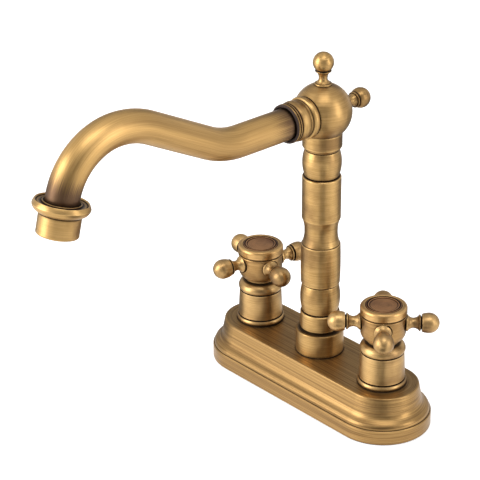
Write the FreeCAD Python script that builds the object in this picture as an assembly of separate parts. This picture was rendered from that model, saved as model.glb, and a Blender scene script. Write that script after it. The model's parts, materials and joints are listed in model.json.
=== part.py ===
"""Two-handle basin mixer tap, built as the separate pieces it comes apart into.

Millimetres.  +Z is up and z = 0 is the deck that the tap stands on.  The origin is on the spout's swivel axis.
+X runs along the base plate, with the hot handle at -X and the cold one at +X.  The spout points to -Y.
"""
import FreeCAD, Part
import math
import os

V = FreeCAD.Vector
UP = V(0, 0, 1)
DOWN = V(0, 0, -1)
FRONT = V(0, -1, 0)
BACK = V(0, 1, 0)

# ---------------------------------------------------------------- driving sizes
# Fits
RUNNING = 0.05            # radial clearance of a shaft that turns in a bore
SLIP = 0.05               # radial clearance of pieces that are screwed or pushed together
END_PLAY = 0.05           # axial play of a piece that turns
THREAD_TOP_GAP = 0.5      # space left past the end of a stud or spigot

# Deck and base plate
HANDLE_SPACING = 101.6    # hot axis to cold axis, the four-inch centres of a basin
PLATE_END_SHIFT = 0.5     # how far outside the handle axis each plate end is centred
PLATE_RADIUS = 27.8       # half the plate's width at its lower band
PLATE_TOP_RADIUS = 20.8   # half the width of its flat top
PLATE_HEIGHT = 25.4
PLATE_WALL = 2.5
PLATE_EDGE = 0.5          # rounding of the plate's bottom edge
BAND_HEIGHT = 8.2         # upright lower band
LEDGE = 0.9               # small step over the band
SHOULDER_HEIGHT = 3.6     # convex shoulder over the ledge
SHOULDER_DEPTH = 1.8
COVE_HEIGHT = 5.2         # hollow moulding between shoulder and wall
COVE_DEPTH = 3.0
TOP_ROUND = 1.1           # rounding of the plate's top edge
GASKET_THICKNESS = 3.0
GASKET_GAP = 0.2          # around the gasket, inside the plate

# Inlet shanks under the deck
SHANK_RADIUS = 10.45      # half-inch pipe thread, over the crests
SHANK_BORE = 6.0
SHANK_DROP = 48.0         # how far a shank reaches under the deck
SHANK_SPIGOT_WALL = 2.4
SHANK_SPIGOT = 6.0
SUPPLY_THREAD = 17.0      # free thread for the supply coupling
SHANK_RELIEF = 1.5        # plain neck between the two threads
SHANK_RELIEF_DEPTH = 0.8
SHANK_CHAMFER = 1.0
DECK_GRIP = 15.0          # deck thickness that washer and nut are drawn up to
WASHER_RADIUS = 17.0
WASHER_THICKNESS = 2.0
WASHER_GAP = 0.25
NUT_FLATS = 30.0
NUT_HEIGHT = 9.0

# Waterway casting inside the plate
CHAMBER_RADIUS = 9.0      # bore that takes a cartridge
NECK_WALL = 2.0           # valve barrel's wall where it passes through the plate
NECK_RISE = 4.6           # barrel top over the plate
BARREL_SHOULDER = 1.4     # step under the plate, on all three barrels
SEAT_BORE = 4.2
SEAT_LAND = 3.0           # metal between the valve seat and the shank's spigot
SEAT_TO_CROSS = 0.4       # from the seat up to the floor of the cross bore
CROSS_BORE = 4.0
CROSS_WALL = 2.2
CROSS_ROOF = 0.3          # between the cross tube and the plate
SOCKET_RADIUS = 8.5       # bore that takes the spout's spigot
SPOUT_NECK_WALL = 3.3
SPOUT_NECK_RISE = 7.6
HOLE_GAP = 0.2            # plate holes around the necks

# Bell over each cartridge
BELL_FOOT_WALL = 1.9      # wall outside the barrel's neck
BELL_FOOT_STEP = 0.9      # foot ring outside the cone
BELL_FOOT_HEIGHT = 3.2
BELL_GROOVE = 0.65        # height and depth of the two turned grooves
BELL_TAPER = 0.7
BELL_CONE_HEIGHT = 15.6
BELL_BEAD_STEP = 0.6      # bead outside the cone's top
BELL_BEAD_HEIGHT = 2.6
BELL_SLOPE_HEIGHT = 2.7
BELL_CROWN_INSET = 3.3
BELL_WALL = 1.6
BELL_CROWN_THICKNESS = 2.6

# Cartridge
SKIRT_WALL = 1.2
SKIRT_GAP = 0.8           # water space round the skirt
SEAL_THICKNESS = 2.5
DISC_THICKNESS = 3.0
DISC_GAP = 0.02           # water film between the lapped discs
SKIRT_FOOT = 1.0          # skirt's foot over the seat
DRIVE_THICKNESS = 2.4     # stem flange that turns the upper disc
FLANGE_GAP = 0.45         # between flange and bell
FLANGE_HEIGHT = 3.0
STEM_RADIUS = 4.0
SPLINE_STEP = 0.4         # splined end inside the shaft's size
SPLINE_TEETH = 20
BONNET_WALL = 4.0
BONNET_NECK_WALL = 1.6
BONNET_NECK_HEIGHT = 3.2
BONNET_DROP = 0.6         # bonnet's top under the bell's top
STEM_SHOULDER = 0.8       # how far the stem's full width goes up into the hub
STEM_SPLINE = 9.0
STEM_GROOVE = 1.2
STEM_RING_PITCH = 4.0

# Handle
HANDLE_GAP = 1.2          # between bell and hub
HUB_RADIUS = 12.7
HUB_FOOT_INSET = 3.5
HUB_FOOT_HEIGHT = 1.3
HUB_ROUND_HEIGHT = 4.3
HUB_WALL_HEIGHT = 9.2
HUB_LIP_STEP = 0.35
HUB_LIP_HEIGHT = 1.2
HUB_GROOVE = 0.7
HUB_GROOVE_DEPTH = 0.75
CAP_STEP = 0.45           # cap outside the hub's wall
CAP_HEIGHT = 4.9
CAP_ROUND = 1.5
CAP_SPIGOT_RADIUS = 8.0
CAP_SPIGOT = 3.0
INDEX_INSET = 2.85        # cap's edge to the index disc
INDEX_RECESS = 0.95
INDEX_THICKNESS = 0.75
INDEX_RING = 0.35         # height of the disc's fine rings
SCREW_RADIUS = 2.0
SCREW_LENGTH = 8.0
SCREW_HEAD_RADIUS = 3.4
SCREW_HEAD_HEIGHT = 2.2
ARM_COUNT = 4
ARM_HEIGHT = 10.8         # arm axis over the hub's foot
ARM_LENGTH = 11.9         # hub's wall to ball centre
ARM_BALL_RADIUS = 5.75
ARM_NECK_RADIUS = 2.9
ARM_FLARE_RADIUS = 4.7
ARM_STUD_RADIUS = 2.0
ARM_STUD = 4.6
ARM_SEAT_DEPTH = 1.0      # spot face that each arm stands on, cut into the hub
HOT_REST_ANGLE = 78.5     # arm directions with both taps shut, from +X
COLD_REST_ANGLE = 47.2

# Spout column
NUT_WALL = 1.95
SPOUT_NUT_HEIGHT = 14.0
NUT_LIP = 4.3             # inward lip that holds the swivel ring down
NUT_DISH = 0.5
SWIVEL_RING_HEIGHT = 2.0
SWIVEL_NECK_STEP = 0.7    # swivel neck outside the spigot's socket
SWIVEL_GROOVE_DEPTH = 0.9 # ring groove inside it
SPIGOT_LENGTH = 11.0
SPIGOT_RING_PITCH = 4.6
SPIGOT_GROOVE = 2.0
RING_CORD = 0.9           # radius of the spigot O-rings' cord
STEM_RING_CORD = 0.5
WATER_BORE = 5.6
COLUMN_GAP = 1.0          # shadow gap between nut and column
FOOT_RADIUS = 11.25
FOOT_HEIGHT = 10.7
JOINT_GROOVE = 0.55       # height of the shadow line between stacked sleeves
LOWER_BEAD_END = 10.2
LOWER_BEAD_RADIUS = 11.45
LOWER_BEAD_HEIGHT = 17.0
SLEEVE_RADIUS = 11.32
SLEEVE_TOP_RADIUS = 11.08
SLEEVE_HEIGHT = 25.2
SLEEVE_NECK_RADIUS = 9.4
SLEEVE_NECK_HEIGHT = 16.0
UPPER_SLEEVE_RADIUS = 10.97
UPPER_SLEEVE_HEIGHT = 26.0
UPPER_BEAD_END = 9.65
UPPER_BEAD_RADIUS = 11.03
UPPER_BEAD_HEIGHT = 15.6
HEAD_COLLAR_RADIUS = 11.13
HEAD_COLLAR_HEIGHT = 10.4
HEAD_COLLAR_CHAMFER = 1.1
RISER_RADIUS = 7.0
RISER_FOOT = 7.0          # how deep the riser stands in the foot
RISER_HEAD = 5.5          # how deep it goes up into the head
SLEEVE_EDGE = 0.4

# Head and finials
HEAD_NEST = 0.067         # how far the rims of the ball's two collars nest into each other
FINIAL_STUD_RADIUS = 2.5
FINIAL_STUD = 6.0
FINIAL_BASE_RADIUS = 4.85
FINIAL_NECK_RADIUS = 2.45
FINIAL_RING_RADIUS = 4.55
FINIAL_BALL_RADIUS = 5.83
FINIAL_HEIGHT = 12.95     # head's flat to ball centre

# Spout tube and its collar
TUBE_RADIUS = 8.9
TUBE_WALL = 1.2
TUBE_FIRST_RUN = 46.3     # level run
TUBE_RISE_RADIUS = 48.1
TUBE_RISE_ANGLE = 27.2
TUBE_SLOPE_RUN = 43.4
TUBE_CREST_RADIUS = 46.5
TUBE_CREST_ANGLE = 28.0
TUBE_DROP_RADIUS = 35.8
TUBE_DROP_ANGLE = 76.0
TUBE_END_RUN = 6.3        # straight end inside the nozzle
COLLAR_SPIGOT_RADIUS = 7.9
COLLAR_SPIGOT_GAP = 0.2   # between the collar's spigot and the riser
COLLAR_MOUTH_GAP = 1.65   # between the tube and the mouth's wall
COLLAR_LIP = 0.5          # lip's wall outside the mouth
COLLAR_BAND_STEP = 0.3    # convex band outside the lip
COLLAR_RING_STEP = 0.95   # rear ring outside the lip
COLLAR_LENGTH = 15.6
COLLAR_MOUTH_DEPTH = 4.2
COLLAR_FLOOR = 1.3        # metal behind the seal
SEAL_RING = 1.5
GUIDE_PROUD = 0.9         # how far the guide ring's flange stands out of the mouth
GUIDE_GROOVE = 0.95       # open groove round the tube in the guide ring's face
GUIDE_GROOVE_DEPTH = 1.6
GUIDE_INSET = 0.15        # flange inside the lip

# Nozzle
NOZZLE_WALL = 2.25        # skirt outside the tube
NOZZLE_BEAD_STEP = 3.95   # bead outside the skirt
NOZZLE_RIM_STEP = 2.9
NOZZLE_BEAD_TOP = 2.4     # rim over the bead's middle
NOZZLE_BEAD_FOOT = 3.9    # bead's foot under its middle
NOZZLE_LENGTH = 15.5      # mouth under the bead's middle
NOZZLE_CHAMFER = 0.9
NOZZLE_DISH = 1.0
NOZZLE_RING_GAP = 0.5     # between the tube and the fine ring
NOZZLE_RING_WIDTH = 0.9
NOZZLE_RING_HEIGHT = 0.7
TUBE_SEAT_DEPTH = 3.0     # tube's end under the bead's middle
NOZZLE_STEP = 0.7         # metal between the tube's end and the washer
AERATOR_SKIRT = 1.3       # nozzle's wall round the aerator
AERATOR_HEIGHT = 8.6
AERATOR_WALL = 1.3
AERATOR_LEDGE = 1.4
AERATOR_INSERT_HEIGHT = 5.0
AERATOR_WASHER = 1.5
AERATOR_HOLE = 0.75
AERATOR_HOLE_RINGS = ((2.4, 6), (4.7, 12))   # ring radius and number of holes

# ---------------------------------------------------------------- heights worked out
HALF_SPACING = HANDLE_SPACING / 2
PLATE_HALF_STRAIGHT = HALF_SPACING + PLATE_END_SHIFT
PLATE_CEILING = PLATE_HEIGHT - PLATE_WALL
CASTING_FOOT = GASKET_THICKNESS
NECK_TOP = PLATE_HEIGHT + NECK_RISE
NECK_RADIUS = CHAMBER_RADIUS + NECK_WALL
SPOUT_NECK_RADIUS = SOCKET_RADIUS + SPOUT_NECK_WALL
CROSS_TUBE_RADIUS = CROSS_BORE + CROSS_WALL
CROSS_Z = PLATE_CEILING - CROSS_ROOF - CROSS_TUBE_RADIUS
SEAT_Z = CROSS_Z - CROSS_BORE - SEAT_TO_CROSS
SHANK_SPIGOT = SEAT_Z - CASTING_FOOT - SEAT_LAND

DISC_CAVITY = CHAMBER_RADIUS - SKIRT_GAP - SKIRT_WALL
FIXED_DISC_Z = SEAT_Z + SEAL_THICKNESS
MOVING_DISC_Z = FIXED_DISC_Z + DISC_THICKNESS + DISC_GAP
DRIVE_Z = MOVING_DISC_Z + DISC_THICKNESS
CAVITY_TOP = DRIVE_Z + DRIVE_THICKNESS + END_PLAY

BELL_BASE_RADIUS = NECK_RADIUS + SLIP + BELL_FOOT_WALL
BELL_TOP_RADIUS = BELL_BASE_RADIUS - BELL_TAPER
BELL_HOLLOW = BELL_TOP_RADIUS - BELL_WALL
BELL_CONE_Z = PLATE_HEIGHT + BELL_FOOT_HEIGHT + BELL_GROOVE
BELL_BEAD_Z = BELL_CONE_Z + BELL_CONE_HEIGHT + BELL_GROOVE
BELL_TOP = BELL_BEAD_Z + BELL_BEAD_HEIGHT + BELL_SLOPE_HEIGHT
BELL_CEILING = BELL_TOP - BELL_CROWN_THICKNESS
BONNET_NECK_RADIUS = STEM_RADIUS + BONNET_NECK_WALL
BONNET_TOP = BELL_TOP - BONNET_DROP
BONNET_SHOULDER = BONNET_TOP - BONNET_NECK_HEIGHT
SPLINE_RADIUS = STEM_RADIUS - SPLINE_STEP

HUB_Z = BELL_TOP + HANDLE_GAP
HUB_ROUND_Z = HUB_Z + HUB_FOOT_HEIGHT
HUB_WALL_Z = HUB_ROUND_Z + HUB_ROUND_HEIGHT
HUB_LIP_Z = HUB_WALL_Z + HUB_WALL_HEIGHT
HUB_TOP = HUB_LIP_Z + HUB_LIP_HEIGHT + HUB_GROOVE
CAP_TOP = HUB_TOP + CAP_HEIGHT
CAP_SPIGOT_Z = HUB_TOP - CAP_SPIGOT
STEM_SHOULDER_Z = HUB_Z + STEM_SHOULDER
STEM_TOP = STEM_SHOULDER_Z + STEM_SPLINE
SCREW_SEAT_Z = STEM_TOP + THREAD_TOP_GAP
ARM_Z = HUB_Z + ARM_HEIGHT
ARM_REACH = HUB_RADIUS + ARM_LENGTH
CAP_RADIUS = HUB_RADIUS + CAP_STEP
INDEX_RADIUS = CAP_RADIUS - INDEX_INSET

SWIVEL_NECK_RADIUS = SOCKET_RADIUS + SWIVEL_NECK_STEP
SWIVEL_GROOVE_RADIUS = SOCKET_RADIUS - SWIVEL_GROOVE_DEPTH
NUT_RADIUS = SPOUT_NECK_RADIUS + SLIP + NUT_WALL
SPOUT_NECK_TOP = PLATE_HEIGHT + SPOUT_NECK_RISE
SPOUT_NUT_TOP = PLATE_HEIGHT + SPOUT_NUT_HEIGHT
LIP_Z = SPOUT_NUT_TOP - NUT_LIP
RING_Z = SPOUT_NECK_TOP + END_PLAY
SPIGOT_END = SPOUT_NECK_TOP - SPIGOT_LENGTH
COLUMN_Z = SPOUT_NUT_TOP + COLUMN_GAP
LOWER_BEAD_Z = COLUMN_Z + FOOT_HEIGHT
SLEEVE_Z = LOWER_BEAD_Z + LOWER_BEAD_HEIGHT
SLEEVE_NECK_Z = SLEEVE_Z + SLEEVE_HEIGHT
UPPER_SLEEVE_Z = SLEEVE_NECK_Z + SLEEVE_NECK_HEIGHT
UPPER_BEAD_Z = UPPER_SLEEVE_Z + UPPER_SLEEVE_HEIGHT
HEAD_COLLAR_Z = UPPER_BEAD_Z + UPPER_BEAD_HEIGHT


def chord_height(sphere_radius, circle_radius):
    """Distance from a sphere's centre to the flat that cuts a circle of the given radius."""
    return math.sqrt(sphere_radius ** 2 - circle_radius ** 2)


COLLAR_MOUTH = TUBE_RADIUS + COLLAR_MOUTH_GAP
COLLAR_LIP_RADIUS = COLLAR_MOUTH + COLLAR_LIP
COLLAR_BAND_RADIUS = COLLAR_LIP_RADIUS + COLLAR_BAND_STEP
COLLAR_RING_RADIUS = COLLAR_LIP_RADIUS + COLLAR_RING_STEP
HEAD_RADIUS = math.hypot(HEAD_COLLAR_RADIUS, COLLAR_RING_RADIUS) - HEAD_NEST
HEAD_FLAT = chord_height(HEAD_RADIUS, HEAD_COLLAR_RADIUS)
FRONT_FLAT = chord_height(HEAD_RADIUS, COLLAR_BAND_RADIUS)
FINIAL_FLAT = chord_height(HEAD_RADIUS, FINIAL_BASE_RADIUS)
HEAD_COLLAR_TOP = HEAD_COLLAR_Z + HEAD_COLLAR_HEIGHT
HEAD_AXIS = HEAD_COLLAR_TOP + HEAD_FLAT
HEAD_CENTRE = V(0, 0, HEAD_AXIS)
RISER_TOP = HEAD_COLLAR_TOP + RISER_HEAD
FINIAL_REACH = FINIAL_FLAT + FINIAL_HEIGHT
COLLAR_SPIGOT_END = RISER_RADIUS + COLLAR_SPIGOT_GAP
SEAL_START = FRONT_FLAT + COLLAR_FLOOR
TUBE_START = SEAL_START + SEAL_RING

NOZZLE_RADIUS = TUBE_RADIUS + NOZZLE_WALL
NOZZLE_BEAD_RADIUS = NOZZLE_RADIUS + NOZZLE_BEAD_STEP
NOZZLE_RIM_RADIUS = NOZZLE_RADIUS + NOZZLE_RIM_STEP
AERATOR_RADIUS = NOZZLE_RADIUS - AERATOR_SKIRT - SLIP
WASHER_SEAT = TUBE_SEAT_DEPTH + NOZZLE_STEP


# ---------------------------------------------------------------- helpers
def profile(points):
    """Closed face in the XZ plane.

    (r, z) is the end of a straight line; (r, z, r_on, z_on) is the end of an arc and a point on that arc.
    """
    edges = []
    start = V(points[0][0], 0, points[0][1])
    here = start
    for point in list(points[1:]) + [points[0][:2]]:
        there = V(point[0], 0, point[1])
        if here.distanceToPoint(there) < 1e-7:
            continue
        if len(point) == 4:
            edges.append(Part.Arc(here, V(point[2], 0, point[3]), there).toShape())
        else:
            edges.append(Part.LineSegment(here, there).toShape())
        here = there
    return Part.Face(Part.Wire(edges))


def turned(points, origin=V(0, 0, 0), axis=UP):
    """Solid of revolution of a profile, with its own z axis laid along the given axis."""
    solid = profile(points).revolve(V(0, 0, 0), UP, 360)
    solid.Placement = FreeCAD.Placement(origin, FreeCAD.Rotation(UP, axis))
    return solid


def rod(radius, low, high, origin=V(0, 0, 0), axis=UP):
    """Cylinder between two distances along an axis."""
    return Part.makeCylinder(radius, high - low, origin + axis * low, axis)


def tube(outer, inner, low, high, origin=V(0, 0, 0), axis=UP):
    return rod(outer, low, high, origin, axis).cut(rod(inner, low, high, origin, axis))


def o_ring(shaft_radius, cord_radius, z, origin=V(0, 0, 0), axis=UP):
    """Rubber ring round a shaft: it lies on the groove floor."""
    return Part.makeTorus(shaft_radius + cord_radius, cord_radius, origin + axis * z, axis)


def stadium(radius, half_straight, low, high):
    """Block with straight sides and round ends, along X."""
    corner = V(-half_straight, -radius, low)
    block = Part.makeBox(2 * half_straight, 2 * radius, high - low, corner)
    ends = [rod(radius, low, high, V(side * half_straight, 0, 0)) for side in (-1, 1)]
    return block.multiFuse(ends).removeSplitter()


def moulded_stadium(points, half_straight):
    """Stadium whose side follows a profile: turned ends and a straight middle."""
    section = profile(points)
    section.rotate(V(0, 0, 0), UP, -90)
    pieces = []
    for side in (1, -1):
        half = section.copy()
        half.translate(V(half_straight, 0, 0))
        end = half.revolve(V(half_straight, 0, 0), UP, 180)
        middle = half.extrude(V(-2 * half_straight, 0, 0))
        if side < 0:
            end.rotate(V(0, 0, 0), UP, 180)
            middle.rotate(V(0, 0, 0), UP, 180)
        pieces += [end, middle]
    return pieces[0].multiFuse(pieces[1:]).removeSplitter()


def union(*shapes):
    return shapes[0].multiFuse(list(shapes[1:])).removeSplitter()


def around(shape, count, origin=V(0, 0, 0), axis=UP):
    """Copies of a shape, evenly turned about an axis."""
    copies = []
    for index in range(count):
        turned_copy = shape.copy()
        turned_copy.rotate(origin, axis, 360 / count * index)
        copies.append(turned_copy)
    return copies


def save(name, shape):
    """Write one piece to its own STEP file."""
    shape.exportStep(os.path.join("parts", name + ".step"))
    print(f"{name:24s} {len(shape.Solids)} solid(s) {sum(s.Volume for s in shape.Solids) / 1000:9.3f} cm3")


# ---------------------------------------------------------------- base
def base_plate():
    """Moulded cover: band, ledge, convex shoulder, cove, wall and flat top, hollow underneath."""
    ledge_radius = PLATE_RADIUS - LEDGE
    shoulder_radius = ledge_radius - SHOULDER_DEPTH
    cove_radius = shoulder_radius - COVE_DEPTH
    ledge_z = BAND_HEIGHT + PLATE_EDGE
    shoulder_z = ledge_z + SHOULDER_HEIGHT
    cove_z = shoulder_z + COVE_HEIGHT
    round_off = TOP_ROUND * (1 - math.sqrt(0.5))
    skin = moulded_stadium([
        (0, 0),
        (PLATE_RADIUS - PLATE_EDGE, 0),
        (PLATE_RADIUS, PLATE_EDGE),
        (PLATE_RADIUS, BAND_HEIGHT),
        (PLATE_RADIUS - PLATE_EDGE, ledge_z),
        (ledge_radius, ledge_z),
        (shoulder_radius, shoulder_z, ledge_radius - SHOULDER_DEPTH * 0.2, ledge_z + SHOULDER_HEIGHT * 0.62),
        (cove_radius, cove_z, shoulder_radius - COVE_DEPTH * 0.72, shoulder_z + COVE_HEIGHT * 0.38),
        (PLATE_TOP_RADIUS, PLATE_HEIGHT - TOP_ROUND),
        (PLATE_TOP_RADIUS - TOP_ROUND, PLATE_HEIGHT,
         PLATE_TOP_RADIUS - round_off, PLATE_HEIGHT - round_off),
        (0, PLATE_HEIGHT)], PLATE_HALF_STRAIGHT)
    low_hollow = stadium(PLATE_RADIUS - PLATE_WALL, PLATE_HALF_STRAIGHT, 0, BAND_HEIGHT - PLATE_EDGE)
    high_hollow = stadium(cove_radius - PLATE_WALL, PLATE_HALF_STRAIGHT, 0, PLATE_CEILING)
    plate = skin.cut(low_hollow).cut(high_hollow)
    for x in (-HALF_SPACING, HALF_SPACING):
        plate = plate.cut(rod(NECK_RADIUS + HOLE_GAP, PLATE_CEILING - 1, PLATE_HEIGHT + 1, V(x, 0, 0)))
    return plate.cut(rod(SPOUT_NECK_RADIUS + HOLE_GAP, PLATE_CEILING - 1, PLATE_HEIGHT + 1))


def base_gasket():
    """Rubber sheet that fills the plate's rim and seals it on the deck."""
    gasket = stadium(PLATE_RADIUS - PLATE_WALL - GASKET_GAP, PLATE_HALF_STRAIGHT, 0, GASKET_THICKNESS)
    for x in (-HALF_SPACING, HALF_SPACING):
        gasket = gasket.cut(rod(SHANK_RADIUS + GASKET_GAP, -1, GASKET_THICKNESS + 1, V(x, 0, 0)))
    return gasket


def waterway_body():
    """Casting with a valve barrel at each end, the spout's socket in the middle and a cross tube."""
    shapes = [
        rod(SPOUT_NECK_RADIUS + BARREL_SHOULDER, CASTING_FOOT, PLATE_CEILING),
        rod(SPOUT_NECK_RADIUS, CASTING_FOOT, SPOUT_NECK_TOP),
        rod(CROSS_TUBE_RADIUS, -HALF_SPACING, HALF_SPACING, V(0, 0, CROSS_Z), V(1, 0, 0))]
    for x in (-HALF_SPACING, HALF_SPACING):
        shapes.append(rod(NECK_RADIUS + BARREL_SHOULDER, CASTING_FOOT, PLATE_CEILING, V(x, 0, 0)))
        shapes.append(rod(NECK_RADIUS, CASTING_FOOT, NECK_TOP, V(x, 0, 0)))
    body = union(*shapes)
    body = body.cut(rod(SOCKET_RADIUS, SEAT_Z, SPOUT_NECK_TOP))
    for x in (-HALF_SPACING, HALF_SPACING):
        spigot_hole = SHANK_RADIUS - SHANK_SPIGOT_WALL + SLIP
        body = body.cut(rod(CHAMBER_RADIUS, SEAT_Z, NECK_TOP, V(x, 0, 0)))
        body = body.cut(rod(SEAT_BORE, CASTING_FOOT, SEAT_Z, V(x, 0, 0)))
        body = body.cut(rod(spigot_hole, CASTING_FOOT, CASTING_FOOT + SHANK_SPIGOT, V(x, 0, 0)))
    return body.cut(rod(CROSS_BORE, -HALF_SPACING, HALF_SPACING, V(0, 0, CROSS_Z), V(1, 0, 0)))


def shank(x):
    """Threaded inlet pipe: its spigot is brazed into the casting, its lower thread takes the supply."""
    relief_top = -SHANK_DROP + SHANK_CHAMFER + SUPPLY_THREAD + SHANK_RELIEF
    spigot = SHANK_RADIUS - SHANK_SPIGOT_WALL
    return turned([
        (SHANK_BORE, -SHANK_DROP),
        (SHANK_RADIUS - SHANK_CHAMFER, -SHANK_DROP),
        (SHANK_RADIUS, -SHANK_DROP + SHANK_CHAMFER),
        (SHANK_RADIUS, relief_top - SHANK_RELIEF),
        (SHANK_RADIUS - SHANK_RELIEF_DEPTH, relief_top - SHANK_RELIEF),
        (SHANK_RADIUS - SHANK_RELIEF_DEPTH, relief_top),
        (SHANK_RADIUS, relief_top),
        (SHANK_RADIUS, CASTING_FOOT),
        (spigot, CASTING_FOOT),
        (spigot, CASTING_FOOT + SHANK_SPIGOT - SLIP),
        (SHANK_BORE, CASTING_FOOT + SHANK_SPIGOT - SLIP)], V(x, 0, 0))


def shank_washer(x):
    """Rubber washer drawn up under the deck."""
    return tube(WASHER_RADIUS, SHANK_RADIUS + WASHER_GAP, -DECK_GRIP - WASHER_THICKNESS, -DECK_GRIP, V(x, 0, 0))


def shank_nut(x):
    """Hexagon nut under the washer, with turned-off corners."""
    top = -DECK_GRIP - WASHER_THICKNESS
    corner = NUT_FLATS / math.sqrt(3)
    bevel = (corner - NUT_FLATS / 2) * 0.6
    points = [V(corner * math.cos(math.radians(a)), corner * math.sin(math.radians(a)), top - NUT_HEIGHT)
              for a in range(0, 361, 60)]
    block = Part.Face(Part.makePolygon(points)).extrude(V(0, 0, NUT_HEIGHT))
    envelope = turned([
        (0, top - NUT_HEIGHT), (corner - bevel, top - NUT_HEIGHT), (corner, top - NUT_HEIGHT + bevel / 2),
        (corner, top - bevel / 2), (corner - bevel, top), (0, top)])
    nut = block.common(envelope).cut(rod(SHANK_RADIUS + SLIP, top - NUT_HEIGHT, top))
    nut.translate(V(x, 0, 0))
    return nut


# ---------------------------------------------------------------- valves
def bell(x):
    """Conical cover screwed on the barrel's neck, with a foot ring, two grooves and a beaded crown."""
    foot_top = PLATE_HEIGHT + BELL_FOOT_HEIGHT
    foot_round = BELL_FOOT_HEIGHT / 4
    cone_top = BELL_CONE_Z + BELL_CONE_HEIGHT
    bead_top = BELL_BEAD_Z + BELL_BEAD_HEIGHT
    foot_radius = BELL_BASE_RADIUS + BELL_FOOT_STEP
    bead_radius = BELL_TOP_RADIUS + BELL_BEAD_STEP
    crown_radius = BELL_BASE_RADIUS - BELL_CROWN_INSET
    return turned([
        (NECK_RADIUS + SLIP, PLATE_HEIGHT),
        (foot_radius - foot_round, PLATE_HEIGHT),
        (foot_radius - foot_round, foot_top, foot_radius, PLATE_HEIGHT + BELL_FOOT_HEIGHT / 2),
        (BELL_BASE_RADIUS - BELL_GROOVE, foot_top),
        (BELL_BASE_RADIUS - BELL_GROOVE, BELL_CONE_Z - BELL_GROOVE / 2),
        (BELL_BASE_RADIUS, BELL_CONE_Z),
        (BELL_TOP_RADIUS, cone_top),
        (BELL_TOP_RADIUS - BELL_GROOVE, cone_top + BELL_GROOVE / 2),
        (BELL_TOP_RADIUS, BELL_BEAD_Z),
        (bead_radius - 0.2, bead_top, bead_radius, BELL_BEAD_Z + BELL_BEAD_HEIGHT * 0.6),
        (crown_radius, BELL_TOP, (bead_radius + crown_radius) / 2 + 0.1, bead_top + BELL_SLOPE_HEIGHT * 0.72),
        (BONNET_NECK_RADIUS + HOLE_GAP, BELL_TOP),
        (BONNET_NECK_RADIUS + HOLE_GAP, BELL_CEILING),
        (BELL_HOLLOW, BELL_CEILING),
        (BELL_HOLLOW, NECK_TOP + THREAD_TOP_GAP),
        (NECK_RADIUS + SLIP, NECK_TOP + THREAD_TOP_GAP)], V(x, 0, 0))


def cartridge_body(x):
    """Brass headwork: skirt with windows round the discs, screwed flange, and bonnet with the stem's bore."""
    skirt = DISC_CAVITY + SKIRT_WALL
    flange = BELL_HOLLOW - FLANGE_GAP
    bonnet = STEM_RADIUS + BONNET_WALL
    thread_z = CAVITY_TOP - DRIVE_THICKNESS / 2
    body = turned([
        (DISC_CAVITY, SEAT_Z + SKIRT_FOOT),
        (skirt, SEAT_Z + SKIRT_FOOT),
        (skirt, thread_z),
        (CHAMBER_RADIUS - SLIP, thread_z),
        (CHAMBER_RADIUS - SLIP, NECK_TOP),
        (flange, NECK_TOP),
        (flange, NECK_TOP + FLANGE_HEIGHT),
        (bonnet, NECK_TOP + FLANGE_HEIGHT),
        (bonnet, BONNET_SHOULDER),
        (BONNET_NECK_RADIUS, BONNET_SHOULDER),
        (BONNET_NECK_RADIUS, BONNET_TOP),
        (STEM_RADIUS + RUNNING, BONNET_TOP),
        (STEM_RADIUS + RUNNING, CAVITY_TOP),
        (DISC_CAVITY, CAVITY_TOP)], V(x, 0, 0))
    window = Part.makeBox(2 * CHAMBER_RADIUS, DISC_CAVITY * 0.7, DISC_THICKNESS, V(0, -DISC_CAVITY * 0.35, 0))
    window.translate(V(x, 0, MOVING_DISC_Z))
    return body.cut(Part.makeCompound(around(window, 4, V(x, 0, 0))))


def seat_seal(x):
    """Rubber ring between the casting's seat and the fixed disc."""
    return tube(DISC_CAVITY - 2 * SLIP, SEAT_BORE, SEAT_Z, FIXED_DISC_Z, V(x, 0, 0))


def ported_disc(x, low, radius):
    """Ceramic disc with two opposite quarter ports."""
    disc = rod(radius, low, low + DISC_THICKNESS, V(x, 0, 0))
    web = 1.2
    sector = Part.makeCylinder(SEAT_BORE - SLIP, DISC_THICKNESS, V(x, 0, low), UP, 90)
    hub_post = rod(web, low, low + DISC_THICKNESS, V(x, 0, 0))
    return disc.cut(Part.makeCompound(around(sector.cut(hub_post), 2, V(x, 0, 0))))


def fixed_disc(x):
    return ported_disc(x, FIXED_DISC_Z, DISC_CAVITY - SLIP)


def moving_disc(x):
    return ported_disc(x, MOVING_DISC_Z, DISC_CAVITY - 4 * SLIP)


def stem_groove_heights():
    """Heights of the two O-ring grooves, either side of the bonnet's middle."""
    middle = (NECK_TOP + FLANGE_HEIGHT + BONNET_SHOULDER) / 2
    return [middle - STEM_RING_PITCH / 2, middle + STEM_RING_PITCH / 2]


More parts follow.
